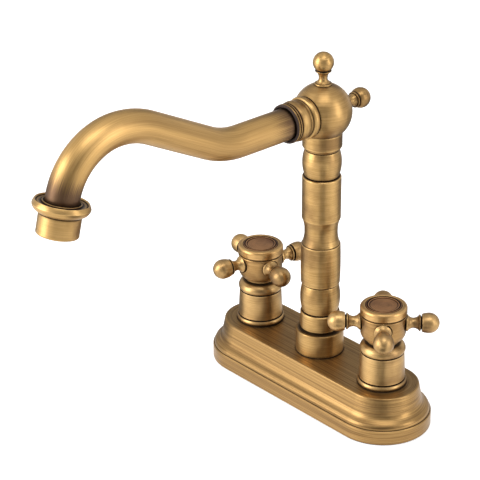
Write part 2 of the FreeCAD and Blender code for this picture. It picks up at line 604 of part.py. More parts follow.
def stem(x):
    """Spindle: flange on the moving disc, shaft with O-ring grooves, shoulder, splined end, screw hole."""
    groove_floor = STEM_RADIUS + RUNNING / 2 - 2 * STEM_RING_CORD
    outline = [(0, DRIVE_Z), (DISC_CAVITY - 4 * SLIP, DRIVE_Z),
               (DISC_CAVITY - 4 * SLIP, DRIVE_Z + DRIVE_THICKNESS), (STEM_RADIUS, DRIVE_Z + DRIVE_THICKNESS)]
    for z in stem_groove_heights():
        outline += [(STEM_RADIUS, z - STEM_GROOVE / 2), (groove_floor, z - STEM_GROOVE / 2),
                    (groove_floor, z + STEM_GROOVE / 2), (STEM_RADIUS, z + STEM_GROOVE / 2)]
    outline += [(STEM_RADIUS, STEM_SHOULDER_Z), (SPLINE_RADIUS, STEM_SHOULDER_Z),
                (SPLINE_RADIUS, STEM_TOP), (0, STEM_TOP)]
    spindle = turned(outline, V(x, 0, 0))
    screw_hole = rod(SCREW_RADIUS + SLIP, SCREW_SEAT_Z - SCREW_LENGTH - THREAD_TOP_GAP, STEM_TOP, V(x, 0, 0))
    tooth = rod(SPLINE_RADIUS * 0.12, STEM_SHOULDER_Z, STEM_TOP, V(x + SPLINE_RADIUS, 0, 0))
    drive_notch = Part.makeBox(2 * DISC_CAVITY, CROSS_BORE, DRIVE_THICKNESS,
                               V(x + STEM_RADIUS, -CROSS_BORE / 2, DRIVE_Z))
    cuts = [screw_hole] + around(tooth, SPLINE_TEETH, V(x, 0, 0)) + around(drive_notch, 2, V(x, 0, 0))
    return spindle.cut(Part.makeCompound(cuts))


def stem_o_rings(x):
    floor = STEM_RADIUS + RUNNING / 2 - 2 * STEM_RING_CORD
    return Part.makeCompound([o_ring(floor, STEM_RING_CORD, z, V(x, 0, 0)) for z in stem_groove_heights()])


# ---------------------------------------------------------------- handles
def arm_axis(angle):
    return V(math.cos(math.radians(angle)), math.sin(math.radians(angle)), 0)


def arm_seat():
    """Distance from the handle's axis to the flat that an arm stands on."""
    return HUB_RADIUS - ARM_SEAT_DEPTH


def hub(x, rest_angle):
    """Turned hub: foot ring, rounded underside, wall, lip, groove; bored for stem, screw, cap and arms."""
    foot = HUB_RADIUS - HUB_FOOT_INSET
    lip = HUB_RADIUS + HUB_LIP_STEP
    groove_radius = lip - HUB_GROOVE_DEPTH
    lip_top = HUB_LIP_Z + HUB_LIP_HEIGHT
    spline = SPLINE_RADIUS + SLIP
    body = turned([
        (spline, HUB_Z + STEM_SHOULDER),
        (STEM_RADIUS + SLIP, HUB_Z + STEM_SHOULDER),
        (STEM_RADIUS + SLIP, HUB_Z),
        (foot, HUB_Z),
        (foot, HUB_ROUND_Z),
        (foot + 0.6, HUB_ROUND_Z),
        (HUB_RADIUS, HUB_WALL_Z, HUB_RADIUS - HUB_FOOT_INSET * 0.22, HUB_ROUND_Z + HUB_ROUND_HEIGHT * 0.42),
        (HUB_RADIUS, HUB_LIP_Z),
        (HUB_RADIUS, lip_top, lip, (HUB_LIP_Z + lip_top) / 2),
        (groove_radius, lip_top),
        (groove_radius, HUB_TOP),
        (CAP_SPIGOT_RADIUS + SLIP, HUB_TOP),
        (CAP_SPIGOT_RADIUS + SLIP, CAP_SPIGOT_Z - THREAD_TOP_GAP),
        (SCREW_HEAD_RADIUS + WASHER_GAP, CAP_SPIGOT_Z - THREAD_TOP_GAP),
        (SCREW_HEAD_RADIUS + WASHER_GAP, SCREW_SEAT_Z),
        (SCREW_RADIUS + SLIP, SCREW_SEAT_Z),
        (SCREW_RADIUS + SLIP, STEM_TOP),
        (spline, STEM_TOP)], V(x, 0, 0))
    centre = V(x, 0, ARM_Z)
    for index in range(ARM_COUNT):
        direction = arm_axis(rest_angle + 360 / ARM_COUNT * index)
        spot_face = rod(ARM_FLARE_RADIUS + SLIP, arm_seat(), HUB_RADIUS + 1, centre, direction)
        hole = rod(ARM_STUD_RADIUS + SLIP, arm_seat() - ARM_STUD - SLIP, HUB_RADIUS, centre, direction)
        body = body.cut(spot_face).cut(hole)
    return body


def handle_arm(x, angle):
    """One arm: stud, trumpet foot, thin neck, disc and acorn ball."""
    seat = arm_seat()
    flare_end = seat + ARM_SEAT_DEPTH
    ball_start = ARM_REACH - ARM_BALL_RADIUS * 0.7
    disc_in = ball_start - 1.7
    disc_out = ball_start - 0.7
    neck_x = (flare_end + disc_in) / 2
    disc_radius = ARM_BALL_RADIUS * 0.82
    diagonal = ARM_BALL_RADIUS * math.sqrt(0.5)
    return turned([
        (0, seat - ARM_STUD),
        (ARM_STUD_RADIUS, seat - ARM_STUD),
        (ARM_STUD_RADIUS, seat),
        (ARM_FLARE_RADIUS, seat),
        (ARM_FLARE_RADIUS, flare_end),
        (ARM_NECK_RADIUS, neck_x, ARM_NECK_RADIUS + (ARM_FLARE_RADIUS - ARM_NECK_RADIUS) * 0.3,
         flare_end + (neck_x - flare_end) * 0.42),
        (disc_radius - 0.5, disc_in, ARM_NECK_RADIUS + (disc_radius - ARM_NECK_RADIUS) * 0.22,
         disc_in - (disc_in - neck_x) * 0.42),
        (disc_radius - 0.5, disc_out, disc_radius, (disc_in + disc_out) / 2),
        (disc_radius - 1.0, disc_out),
        (disc_radius - 1.0, ball_start),
        (ARM_BALL_RADIUS * 0.88, ball_start),
        (ARM_BALL_RADIUS, ARM_REACH, ARM_BALL_RADIUS * 0.965, ARM_REACH - ARM_BALL_RADIUS * 0.38),
        (0, ARM_REACH + ARM_BALL_RADIUS, diagonal, ARM_REACH + diagonal)],
        V(x, 0, ARM_Z), arm_axis(angle))


def cap(x):
    """Screwed cap with a rounded rim and a recess for the index disc."""
    round_off = CAP_ROUND * (1 - math.sqrt(0.5))
    rim = CAP_TOP - INDEX_RECESS
    return turned([
        (0, CAP_SPIGOT_Z),
        (CAP_SPIGOT_RADIUS, CAP_SPIGOT_Z),
        (CAP_SPIGOT_RADIUS, HUB_TOP),
        (CAP_RADIUS - 0.4, HUB_TOP),
        (CAP_RADIUS, HUB_TOP + 0.6),
        (CAP_RADIUS, CAP_TOP - CAP_ROUND),
        (CAP_RADIUS - CAP_ROUND, CAP_TOP, CAP_RADIUS - round_off, CAP_TOP - round_off),
        (INDEX_RADIUS + SLIP, CAP_TOP),
        (INDEX_RADIUS + SLIP, rim),
        (0, rim)], V(x, 0, 0))


def index_disc(x):
    """Plain dark disc in the cap, with two fine raised rings round its edge."""
    low = CAP_TOP - INDEX_RECESS
    face = low + INDEX_THICKNESS
    ring_top = face + INDEX_RING
    outline = [(0, low), (INDEX_RADIUS, low), (INDEX_RADIUS, face)]
    for ring_radius in (INDEX_RADIUS * 0.93, INDEX_RADIUS * 0.82):
        outline += [(ring_radius + 0.45, face), (ring_radius - 0.45, face, ring_radius, ring_top)]
    return turned(outline + [(0, face)], V(x, 0, 0))


def handle_screw(x):
    """Pan-head screw that clamps the hub on the stem."""
    head_top = SCREW_SEAT_Z + SCREW_HEAD_HEIGHT
    screw = turned([
        (0, SCREW_SEAT_Z - SCREW_LENGTH),
        (SCREW_RADIUS, SCREW_SEAT_Z - SCREW_LENGTH),
        (SCREW_RADIUS, SCREW_SEAT_Z),
        (SCREW_HEAD_RADIUS, SCREW_SEAT_Z),
        (SCREW_HEAD_RADIUS * 0.8, head_top, SCREW_HEAD_RADIUS * 0.97, SCREW_SEAT_Z + SCREW_HEAD_HEIGHT * 0.6),
        (0, head_top)])
    slot_length = SCREW_HEAD_RADIUS * 1.1
    slot_width = SCREW_HEAD_RADIUS * 0.25
    slot = Part.makeBox(slot_length, slot_width, SCREW_HEAD_HEIGHT / 2,
                        V(-slot_length / 2, -slot_width / 2, head_top - SCREW_HEAD_HEIGHT / 2))
    screw = screw.cut(Part.makeCompound(around(slot, 4)))
    screw.translate(V(x, 0, 0))
    return screw


# ---------------------------------------------------------------- swivel and column
def spout_nut():
    """Round nut on the middle barrel; its lip keeps the swivel ring down."""
    return turned([
        (SPOUT_NECK_RADIUS + SLIP, PLATE_HEIGHT),
        (NUT_RADIUS - 0.5, PLATE_HEIGHT),
        (NUT_RADIUS, PLATE_HEIGHT + 0.5),
        (NUT_RADIUS, SPOUT_NUT_TOP - 0.5),
        (NUT_RADIUS - 0.5, SPOUT_NUT_TOP, NUT_RADIUS - 0.15, SPOUT_NUT_TOP - 0.15),
        (NUT_RADIUS - 1.0, SPOUT_NUT_TOP),
        (FOOT_RADIUS, SPOUT_NUT_TOP - NUT_DISH),
        (SWIVEL_NECK_RADIUS + RUNNING, SPOUT_NUT_TOP - NUT_DISH),
        (SWIVEL_NECK_RADIUS + RUNNING, LIP_Z),
        (SPOUT_NECK_RADIUS + SLIP, LIP_Z)])


def swivel_ring():
    """Nylon ring in the column's groove: it carries the spout on the barrel and turns with it."""
    outer = SPOUT_NECK_RADIUS - WASHER_GAP
    return tube(outer, SWIVEL_GROOVE_RADIUS + SLIP, RING_Z, RING_Z + SWIVEL_RING_HEIGHT)


def spigot_groove_heights():
    middle = (SPIGOT_END + SPOUT_NECK_TOP) / 2
    return [middle - SPIGOT_RING_PITCH / 2, middle + SPIGOT_RING_PITCH / 2]


def column_foot():
    """Lowest column piece: visible foot ring, swivel neck, ring groove and a spigot with O-ring grooves."""
    spigot = SOCKET_RADIUS - RUNNING
    groove_floor = SOCKET_RADIUS - RUNNING / 2 - 2 * RING_CORD
    ring_top = RING_Z + SWIVEL_RING_HEIGHT
    outline = [(WATER_BORE, SPIGOT_END), (spigot, SPIGOT_END)]
    for z in spigot_groove_heights():
        outline += [(spigot, z - SPIGOT_GROOVE / 2), (groove_floor, z - SPIGOT_GROOVE / 2),
                    (groove_floor, z + SPIGOT_GROOVE / 2), (spigot, z + SPIGOT_GROOVE / 2)]
    outline += [
        (spigot, RING_Z - SLIP),
        (SWIVEL_GROOVE_RADIUS, RING_Z - SLIP),
        (SWIVEL_GROOVE_RADIUS, ring_top + SLIP),
        (SWIVEL_NECK_RADIUS, ring_top + SLIP),
        (SWIVEL_NECK_RADIUS, COLUMN_Z),
        (FOOT_RADIUS - SLEEVE_EDGE, COLUMN_Z),
        (FOOT_RADIUS, COLUMN_Z + SLEEVE_EDGE),
        (FOOT_RADIUS, LOWER_BEAD_Z - JOINT_GROOVE - SLEEVE_EDGE),
        (FOOT_RADIUS - SLEEVE_EDGE, LOWER_BEAD_Z - JOINT_GROOVE),
        (LOWER_BEAD_END - JOINT_GROOVE, LOWER_BEAD_Z - JOINT_GROOVE),
        (LOWER_BEAD_END - JOINT_GROOVE, LOWER_BEAD_Z),
        (RISER_RADIUS + SLIP, LOWER_BEAD_Z),
        (RISER_RADIUS + SLIP, LOWER_BEAD_Z - RISER_FOOT),
        (WATER_BORE, LOWER_BEAD_Z - RISER_FOOT)]
    return turned(outline)


def spigot_o_rings():
    floor = SOCKET_RADIUS - RUNNING / 2 - 2 * RING_CORD
    return Part.makeCompound([o_ring(floor, RING_CORD, z) for z in spigot_groove_heights()])


def riser_tube():
    """Threaded pipe through the column that clamps foot, sleeves and head together."""
    return tube(RISER_RADIUS, WATER_BORE, LOWER_BEAD_Z - RISER_FOOT, RISER_TOP)


def bead(low, high, end_radius, middle_radius, lean=0.5):
    """Barrel-shaped sleeve round the riser; lean moves its widest point up or down."""
    return turned([
        (RISER_RADIUS + SLIP, low),
        (end_radius, low),
        (end_radius, high, middle_radius, low + (high - low) * lean),
        (RISER_RADIUS + SLIP, high)])


def lower_bead():
    return bead(LOWER_BEAD_Z, SLEEVE_Z, LOWER_BEAD_END, LOWER_BEAD_RADIUS)


def upper_bead():
    return bead(UPPER_BEAD_Z, HEAD_COLLAR_Z, UPPER_BEAD_END, UPPER_BEAD_RADIUS)


def column_sleeve():
    """Long middle sleeve: slightly barrelled lower part, hollow neck, straight upper part."""
    bottom = SLEEVE_Z + JOINT_GROOVE
    top = UPPER_BEAD_Z - JOINT_GROOVE
    neck_middle = SLEEVE_NECK_Z + SLEEVE_NECK_HEIGHT * 0.52
    groove = LOWER_BEAD_END - JOINT_GROOVE
    flare = UPPER_SLEEVE_RADIUS - SLEEVE_NECK_RADIUS
    return turned([
        (RISER_RADIUS + SLIP, SLEEVE_Z),
        (groove, SLEEVE_Z),
        (groove, bottom),
        (SLEEVE_TOP_RADIUS - SLEEVE_EDGE, bottom),
        (SLEEVE_TOP_RADIUS, bottom + SLEEVE_EDGE),
        (SLEEVE_TOP_RADIUS, SLEEVE_NECK_Z - SLEEVE_EDGE, SLEEVE_RADIUS, SLEEVE_Z + SLEEVE_HEIGHT * 0.42),
        (SLEEVE_TOP_RADIUS - SLEEVE_EDGE, SLEEVE_NECK_Z),
        (SLEEVE_NECK_RADIUS, neck_middle, SLEEVE_NECK_RADIUS + (SLEEVE_TOP_RADIUS - SLEEVE_NECK_RADIUS) * 0.22,
         SLEEVE_NECK_Z + SLEEVE_NECK_HEIGHT * 0.2),
        (UPPER_SLEEVE_RADIUS, UPPER_SLEEVE_Z, SLEEVE_NECK_RADIUS + flare * 0.3,
         UPPER_SLEEVE_Z - SLEEVE_NECK_HEIGHT * 0.2),
        (UPPER_SLEEVE_RADIUS, top - SLEEVE_EDGE),
        (UPPER_SLEEVE_RADIUS - SLEEVE_EDGE, top),
        (UPPER_BEAD_END - JOINT_GROOVE, top),
        (UPPER_BEAD_END - JOINT_GROOVE, UPPER_BEAD_Z),
        (RISER_RADIUS + SLIP, UPPER_BEAD_Z)])


def head_collar():
    """Chamfered collar under the head."""
    bottom = HEAD_COLLAR_Z + JOINT_GROOVE
    groove = UPPER_BEAD_END - JOINT_GROOVE
    return turned([
        (RISER_RADIUS + SLIP, HEAD_COLLAR_Z),
        (groove, HEAD_COLLAR_Z),
        (groove, bottom),
        (HEAD_COLLAR_RADIUS - HEAD_COLLAR_CHAMFER, bottom),
        (HEAD_COLLAR_RADIUS, bottom + HEAD_COLLAR_CHAMFER * 1.5),
        (HEAD_COLLAR_RADIUS, HEAD_COLLAR_TOP),
        (RISER_RADIUS + SLIP, HEAD_COLLAR_TOP)])


# ---------------------------------------------------------------- head
def head_ball():
    """Ball with flats for collar, spout and finials, bored for water and studs."""
    ball = Part.makeSphere(HEAD_RADIUS, HEAD_CENTRE)
    waste = 2 * HEAD_RADIUS
    ball = ball.cut(rod(HEAD_RADIUS, HEAD_FLAT, waste, HEAD_CENTRE, DOWN))
    ball = ball.cut(rod(HEAD_RADIUS, FRONT_FLAT, waste, HEAD_CENTRE, FRONT))
    for direction in (UP, BACK):
        stud_hole = FINIAL_FLAT - FINIAL_STUD - THREAD_TOP_GAP
        ball = ball.cut(rod(HEAD_RADIUS, FINIAL_FLAT, waste, HEAD_CENTRE, direction))
        ball = ball.cut(rod(FINIAL_STUD_RADIUS + SLIP, stud_hole, waste, HEAD_CENTRE, direction))
    ball = ball.cut(rod(RISER_RADIUS + SLIP, HEAD_FLAT - RISER_HEAD, waste, HEAD_CENTRE, DOWN))
    ball = ball.cut(rod(WATER_BORE, 0, waste, HEAD_CENTRE, DOWN))
    ball = ball.cut(rod(COLLAR_SPIGOT_RADIUS + SLIP, COLLAR_SPIGOT_END - SLIP, waste, HEAD_CENTRE, FRONT))
    return ball.cut(rod(WATER_BORE, 0, waste, HEAD_CENTRE, FRONT)).cut(Part.makeSphere(WATER_BORE, HEAD_CENTRE))


def finial(direction):
    """Ball finial: stud, foot ring, waisted neck, thin ring and ball."""
    foot = FINIAL_FLAT
    ring_z = FINIAL_REACH - chord_height(FINIAL_BALL_RADIUS, FINIAL_RING_RADIUS - 0.35) - 0.45
    neck_z = foot + (ring_z - foot) * 0.48
    return turned([
        (0, foot - FINIAL_STUD),
        (FINIAL_STUD_RADIUS, foot - FINIAL_STUD),
        (FINIAL_STUD_RADIUS, foot),
        (FINIAL_BASE_RADIUS - 0.3, foot),
        (FINIAL_BASE_RADIUS - 0.5, foot + 1.2, FINIAL_BASE_RADIUS, foot + 0.6),
        (FINIAL_BASE_RADIUS - 1.0, foot + 1.5),
        (FINIAL_NECK_RADIUS, neck_z, FINIAL_NECK_RADIUS + 0.45, foot + 2.4),
        (FINIAL_RING_RADIUS - 0.7, ring_z - 0.9, FINIAL_NECK_RADIUS + 0.4, neck_z + (ring_z - neck_z) * 0.45),
        (FINIAL_RING_RADIUS - 0.2, ring_z - 0.7),
        (FINIAL_RING_RADIUS - 0.2, ring_z, FINIAL_RING_RADIUS, ring_z - 0.35),
        (FINIAL_RING_RADIUS - 0.7, ring_z),
        (FINIAL_RING_RADIUS - 0.7, ring_z + 0.3),
        (FINIAL_RING_RADIUS - 0.35, ring_z + 0.45),
        (0, FINIAL_REACH + FINIAL_BALL_RADIUS, FINIAL_BALL_RADIUS, FINIAL_REACH)], HEAD_CENTRE, direction)


# ---------------------------------------------------------------- spout
def spout_collar():
    """Union between head and spout: ring, hollow, convex band, double lip and a deep mouth round the tube."""
    base = FRONT_FLAT
    front = base + COLLAR_LENGTH
    ring_low = base + 1.2
    ring_high = base + 4.1
    band_low = base + 7.0
    band_high = base + 12.3
    groove = COLLAR_LIP_RADIUS - 0.75
    socket = TUBE_RADIUS + SLIP
    return turned([
        (WATER_BORE, COLLAR_SPIGOT_END),
        (COLLAR_SPIGOT_RADIUS, COLLAR_SPIGOT_END),
        (COLLAR_SPIGOT_RADIUS, base),
        (COLLAR_BAND_RADIUS - 0.5, base),
        (COLLAR_BAND_RADIUS - 0.5, ring_low - 0.3),
        (COLLAR_RING_RADIUS - 0.4, ring_low),
        (COLLAR_RING_RADIUS - 0.4, ring_high, COLLAR_RING_RADIUS, (ring_low + ring_high) / 2),
        (groove + 0.3, ring_high + 0.6),
        (groove + 0.1, band_low - 0.6, groove - 0.05, (ring_high + band_low) / 2),
        (COLLAR_BAND_RADIUS - 0.45, band_low),
        (COLLAR_LIP_RADIUS - 0.35, band_high, COLLAR_BAND_RADIUS, band_low + (band_high - band_low) * 0.42),
        (groove, band_high + 0.2),
        (groove, band_high + 0.6),
        (groove + 0.5, band_high + 0.8),
        (groove + 0.5, band_high + 1.7, groove + 0.65, band_high + 1.25),
        (groove, band_high + 2.0),
        (COLLAR_LIP_RADIUS - 0.15, band_high + 2.35),
        (COLLAR_LIP_RADIUS - 0.15, front - 0.2, COLLAR_LIP_RADIUS, (band_high + 2.35 + front - 0.2) / 2),
        (COLLAR_LIP_RADIUS - 0.35, front),
        (COLLAR_MOUTH, front),
        (COLLAR_MOUTH, front - COLLAR_MOUTH_DEPTH),
        (socket, front - COLLAR_MOUTH_DEPTH),
        (socket, SEAL_START),
        (WATER_BORE, SEAL_START)], HEAD_CENTRE, FRONT)


def guide_ring():
    """Black ring pushed into the collar's mouth, with a flange over the lip and a groove round the tube."""
    face = FRONT_FLAT + COLLAR_LENGTH
    floor = face - COLLAR_MOUTH_DEPTH
    rim = COLLAR_LIP_RADIUS - GUIDE_INSET
    groove = TUBE_RADIUS + GUIDE_GROOVE
    return turned([
        (TUBE_RADIUS + SLIP, floor),
        (COLLAR_MOUTH - SLIP, floor),
        (COLLAR_MOUTH - SLIP, face),
        (rim, face),
        (rim, face + GUIDE_PROUD * 0.6),
        (rim - GUIDE_PROUD * 0.4, face + GUIDE_PROUD),
        (groove, face + GUIDE_PROUD),
        (groove, face + GUIDE_PROUD - GUIDE_GROOVE_DEPTH),
        (TUBE_RADIUS + SLIP, face + GUIDE_PROUD - GUIDE_GROOVE_DEPTH)], HEAD_CENTRE, FRONT)


def collar_seal():
    """Flat rubber ring between the tube's end and the collar."""
    return tube(TUBE_RADIUS, TUBE_RADIUS - TUBE_WALL, SEAL_START, TUBE_START, HEAD_CENTRE, FRONT)


def heading(angle):
    """Unit vector towards the front, raised by an angle in degrees."""
    return V(0, -math.cos(math.radians(angle)), math.sin(math.radians(angle)))


def spout_path():
    """Centreline of the spout: its edges, end point and end direction."""
    runs = [("run", TUBE_FIRST_RUN), ("bend", TUBE_RISE_RADIUS, TUBE_RISE_ANGLE), ("run", TUBE_SLOPE_RUN),
            ("bend", TUBE_CREST_RADIUS, -TUBE_CREST_ANGLE), ("bend", TUBE_DROP_RADIUS, -TUBE_DROP_ANGLE),
            ("run", TUBE_END_RUN)]
    here = HEAD_CENTRE + FRONT * TUBE_START
    angle = 0.0
    edges = []
    for run in runs:
        if run[0] == "run":
            there = here + heading(angle) * run[1]
            edges.append(Part.LineSegment(here, there).toShape())
        else:
            side = math.copysign(1, run[2])
            centre = here + heading(angle + 90) * (run[1] * side)
            middle = centre - heading(angle + run[2] / 2 + 90) * (run[1] * side)
            angle += run[2]
            there = centre - heading(angle + 90) * (run[1] * side)
            edges.append(Part.Arc(here, middle, there).toShape())
        here = there
    return edges, here, heading(angle)


def swept(path, radius):
    """Round bar along a path of tangent runs and bends."""
    circle = Part.makeCircle(radius, HEAD_CENTRE + FRONT * TUBE_START, FRONT)
    return Part.Wire(path).makePipeShell([Part.Wire([circle])], True, True)


def spout_tube():
    edges, _, _ = spout_path()
    return swept(edges, TUBE_RADIUS).cut(swept(edges, TUBE_RADIUS - TUBE_WALL))


def nozzle_frame():
    """Middle of the nozzle's bead and the direction the water leaves in."""
    _, end, direction = spout_path()
    return end - direction * TUBE_SEAT_DEPTH, direction


def spout_nozzle():
    """Nozzle pushed on the tube: rounded bead with a dished top and a fine ring, then a straight skirt."""
    origin, direction = nozzle_frame()
    top = -NOZZLE_BEAD_TOP
    dish = top + NOZZLE_DISH
    ring_inner = TUBE_RADIUS + NOZZLE_RING_GAP
    ring_outer = ring_inner + NOZZLE_RING_WIDTH
    return turned([
        (TUBE_RADIUS + SLIP, dish),
        (ring_inner, dish),
        (ring_outer, dish, (ring_inner + ring_outer) / 2, dish - NOZZLE_RING_HEIGHT),
        (NOZZLE_RIM_RADIUS - 0.9, dish),
        (NOZZLE_RIM_RADIUS, top),
        (NOZZLE_BEAD_RADIUS, 0, NOZZLE_BEAD_RADIUS - 0.42, top * 0.52),
        (NOZZLE_RADIUS + 0.7, NOZZLE_BEAD_FOOT - 0.3, NOZZLE_BEAD_RADIUS - 1.05, NOZZLE_BEAD_FOOT * 0.6),
        (NOZZLE_RADIUS, NOZZLE_BEAD_FOOT + 0.3),
        (NOZZLE_RADIUS, NOZZLE_LENGTH - NOZZLE_CHAMFER),
        (NOZZLE_RADIUS - NOZZLE_CHAMFER, NOZZLE_LENGTH,
         NOZZLE_RADIUS - NOZZLE_CHAMFER * 0.3, NOZZLE_LENGTH - NOZZLE_CHAMFER * 0.3),
        (AERATOR_RADIUS + SLIP, NOZZLE_LENGTH),
        (AERATOR_RADIUS + SLIP, WASHER_SEAT),
        (TUBE_RADIUS - TUBE_WALL, WASHER_SEAT),
        (TUBE_RADIUS - TUBE_WALL, TUBE_SEAT_DEPTH),
        (TUBE_RADIUS + SLIP, TUBE_SEAT_DEPTH)], origin, direction)


def aerator_washer():
    origin, direction = nozzle_frame()
    return tube(AERATOR_RADIUS, TUBE_RADIUS - TUBE_WALL, WASHER_SEAT, WASHER_SEAT + AERATOR_WASHER,
                origin, direction)


def aerator_housing():
    """Screwed cup in the nozzle's mouth, with an inward ledge under the insert."""
    origin, direction = nozzle_frame()
    low = WASHER_SEAT + AERATOR_WASHER
    high = low + AERATOR_HEIGHT
    inner = AERATOR_RADIUS - AERATOR_WALL
    return turned([
        (inner, low),
        (AERATOR_RADIUS, low),
        (AERATOR_RADIUS, high - 0.4),
        (AERATOR_RADIUS - 0.4, high),
        (inner - AERATOR_LEDGE, high),
        (inner - AERATOR_LEDGE, high - AERATOR_LEDGE),
        (inner, high - AERATOR_LEDGE)], origin, direction)


def aerator_insert():
    """Plastic flow insert on the ledge, with rings of fine jets."""
    origin, direction = nozzle_frame()
    high = WASHER_SEAT + AERATOR_WASHER + AERATOR_HEIGHT - AERATOR_LEDGE
    low = high - AERATOR_INSERT_HEIGHT
    insert = rod(AERATOR_RADIUS - AERATOR_WALL - SLIP, low, high, origin, direction)
    side = V(1, 0, 0)
    jets = [rod(AERATOR_HOLE, low, high, origin, direction)]
    for ring_radius, count in AERATOR_HOLE_RINGS:
        jet = rod(AERATOR_HOLE, low, high, origin + side * ring_radius, direction)
        jets += around(jet, count, origin, direction)
    return insert.cut(Part.makeCompound(jets))


# ---------------------------------------------------------------- assembly
def build_all():
    os.makedirs("parts", exist_ok=True)
    save("base_plate", base_plate())
    save("base_gasket", base_gasket())
    save("waterway_body", waterway_body())
    save("spout_nut", spout_nut())
    sides = (("hot", -HALF_SPACING, HOT_REST_ANGLE), ("cold", HALF_SPACING, COLD_REST_ANGLE))
    for side, x, rest_angle in sides:
        save(side + "_shank", shank(x))
        save(side + "_shank_washer", shank_washer(x))
        save(side + "_shank_nut", shank_nut(x))
        save(side + "_bell", bell(x))
        save(side + "_cartridge_body", cartridge_body(x))
        save(side + "_seat_seal", seat_seal(x))
        save(side + "_fixed_disc", fixed_disc(x))
        save(side + "_moving_disc", moving_disc(x))
        save(side + "_stem", stem(x))
        save(side + "_stem_o_rings", stem_o_rings(x))
        save(side + "_hub", hub(x, rest_angle))
        save(side + "_cap", cap(x))
        save(side + "_index_disc", index_disc(x))
        save(side + "_handle_screw", handle_screw(x))
        for index in range(ARM_COUNT):
            save(f"{side}_arm_{index + 1}", handle_arm(x, rest_angle + 360 / ARM_COUNT * index))
    save("column_foot", column_foot())
    save("swivel_ring", swivel_ring())
    save("spigot_o_rings", spigot_o_rings())
    save("riser_tube", riser_tube())
    save("lower_bead", lower_bead())
    save("column_sleeve", column_sleeve())
    save("upper_bead", upper_bead())
    save("head_collar", head_collar())
    save("head_ball", head_ball())
    save("top_finial", finial(UP))
    save("rear_finial", finial(BACK))
    save("spout_collar", spout_collar())
    save("guide_ring", guide_ring())
    save("collar_seal", collar_seal())
    save("spout_tube", spout_tube())
    save("spout_nozzle", spout_nozzle())
    save("aerator_washer", aerator_washer())
    save("aerator_housing", aerator_housing())
    save("aerator_insert", aerator_insert())


build_all()
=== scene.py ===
# %% [markdown]
# # A basin mixer tap in antique brass
#
# The real object is a two-handle tap for a wash basin. A moulded base plate carries two conical bells with
# cross handles, and a turned column that swivels and ends in a ball, a collar and a swan-neck spout. The
# measured solids come from the CAD model, so this lesson only finishes surfaces. It rounds the sharp corners
# that a turner breaks, cuts the threads, and gives every piece its brushed brass or its own material.

# %% Load the measured model
import json
import math

import bmesh
import bpy
import numpy as np
from mathutils import Matrix, Vector


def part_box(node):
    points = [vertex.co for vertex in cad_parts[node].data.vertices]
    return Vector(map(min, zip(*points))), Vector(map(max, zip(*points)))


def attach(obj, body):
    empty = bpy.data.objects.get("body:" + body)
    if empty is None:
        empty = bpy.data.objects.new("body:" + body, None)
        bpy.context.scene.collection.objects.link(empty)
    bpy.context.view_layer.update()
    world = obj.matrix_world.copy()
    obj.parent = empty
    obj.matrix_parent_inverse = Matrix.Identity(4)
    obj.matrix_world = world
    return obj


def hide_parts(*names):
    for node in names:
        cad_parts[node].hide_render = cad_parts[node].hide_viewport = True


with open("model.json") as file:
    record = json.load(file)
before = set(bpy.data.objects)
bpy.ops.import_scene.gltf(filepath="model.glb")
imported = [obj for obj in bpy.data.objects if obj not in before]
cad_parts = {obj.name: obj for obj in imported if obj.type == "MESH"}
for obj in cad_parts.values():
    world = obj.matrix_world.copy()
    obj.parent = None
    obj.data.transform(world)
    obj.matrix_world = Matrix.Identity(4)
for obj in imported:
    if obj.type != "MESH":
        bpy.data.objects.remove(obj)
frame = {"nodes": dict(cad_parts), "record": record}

nodes, record = frame["nodes"], frame["record"]
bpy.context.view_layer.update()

# %% [markdown]
# ## Where the turning axes are
#
# Almost every visible piece was made on a lathe, so it is fully described by an outline and an axis. The axes
# can be typed in, but reading them from the model keeps the pieces where the model has them. A turned solid's
# centre of mass lies on its axis, so an arm's axis is the line from its handle's axis to that centre, and the
# nozzle's is the line on to the aerator's centre.

# %% Read the axes
def middle(node):
    """Centre of mass of a solid, from its triangles and the point (0, 0, 0)."""
    mesh = nodes[node].data
    mesh.calc_loop_triangles()
    places = np.array([v.co for v in mesh.vertices])
    corners = places[np.array([t.vertices[:] for t in mesh.loop_triangles])]
    volumes = np.einsum("ij,ij->i", corners[:, 0], np.cross(corners[:, 1], corners[:, 2]))
    return Vector((corners.sum(axis=1) * volumes[:, None]).sum(axis=0) / (4 * volumes.sum()))


def flat(vector):
    return Vector((vector.x, vector.y, 0.0))


UP, FRONT, BACK = Vector((0, 0, 1)), Vector((0, -1, 0)), Vector((0, 1, 0))
ARMS_PER_HANDLE = 4
handle_axis = {side: flat(middle(f"{side}_cap")) for side in ("hot", "cold")}
column_axis = flat(middle("spout_nut"))
head_middle = Vector((0, 0, middle("rear_finial").z))
arm_height = middle("hot_arm_1").z
nozzle_middle = middle("spout_nozzle")
nozzle_axis = (middle("aerator_housing") - nozzle_middle).normalized()
print("handle axes at x =", [round(1000 * p.x, 1) for p in handle_axis.values()], "mm,",
      "head centre at z =", round(1000 * head_middle.z, 1), "mm, arms at z =", round(1000 * arm_height, 1),
      "mm, nozzle leans", round(math.degrees(math.acos(-nozzle_axis.z)), 1), "degrees")

# %% [markdown]
# ## Camera
#
# A product view looks down a little at one end of the tap from a good distance, which keeps the column
# upright and the plate in gentle perspective. A Track To constraint could aim the camera, but a matrix built
# from three directions says it in one step: back towards the camera, right, and up, with a trace of roll.

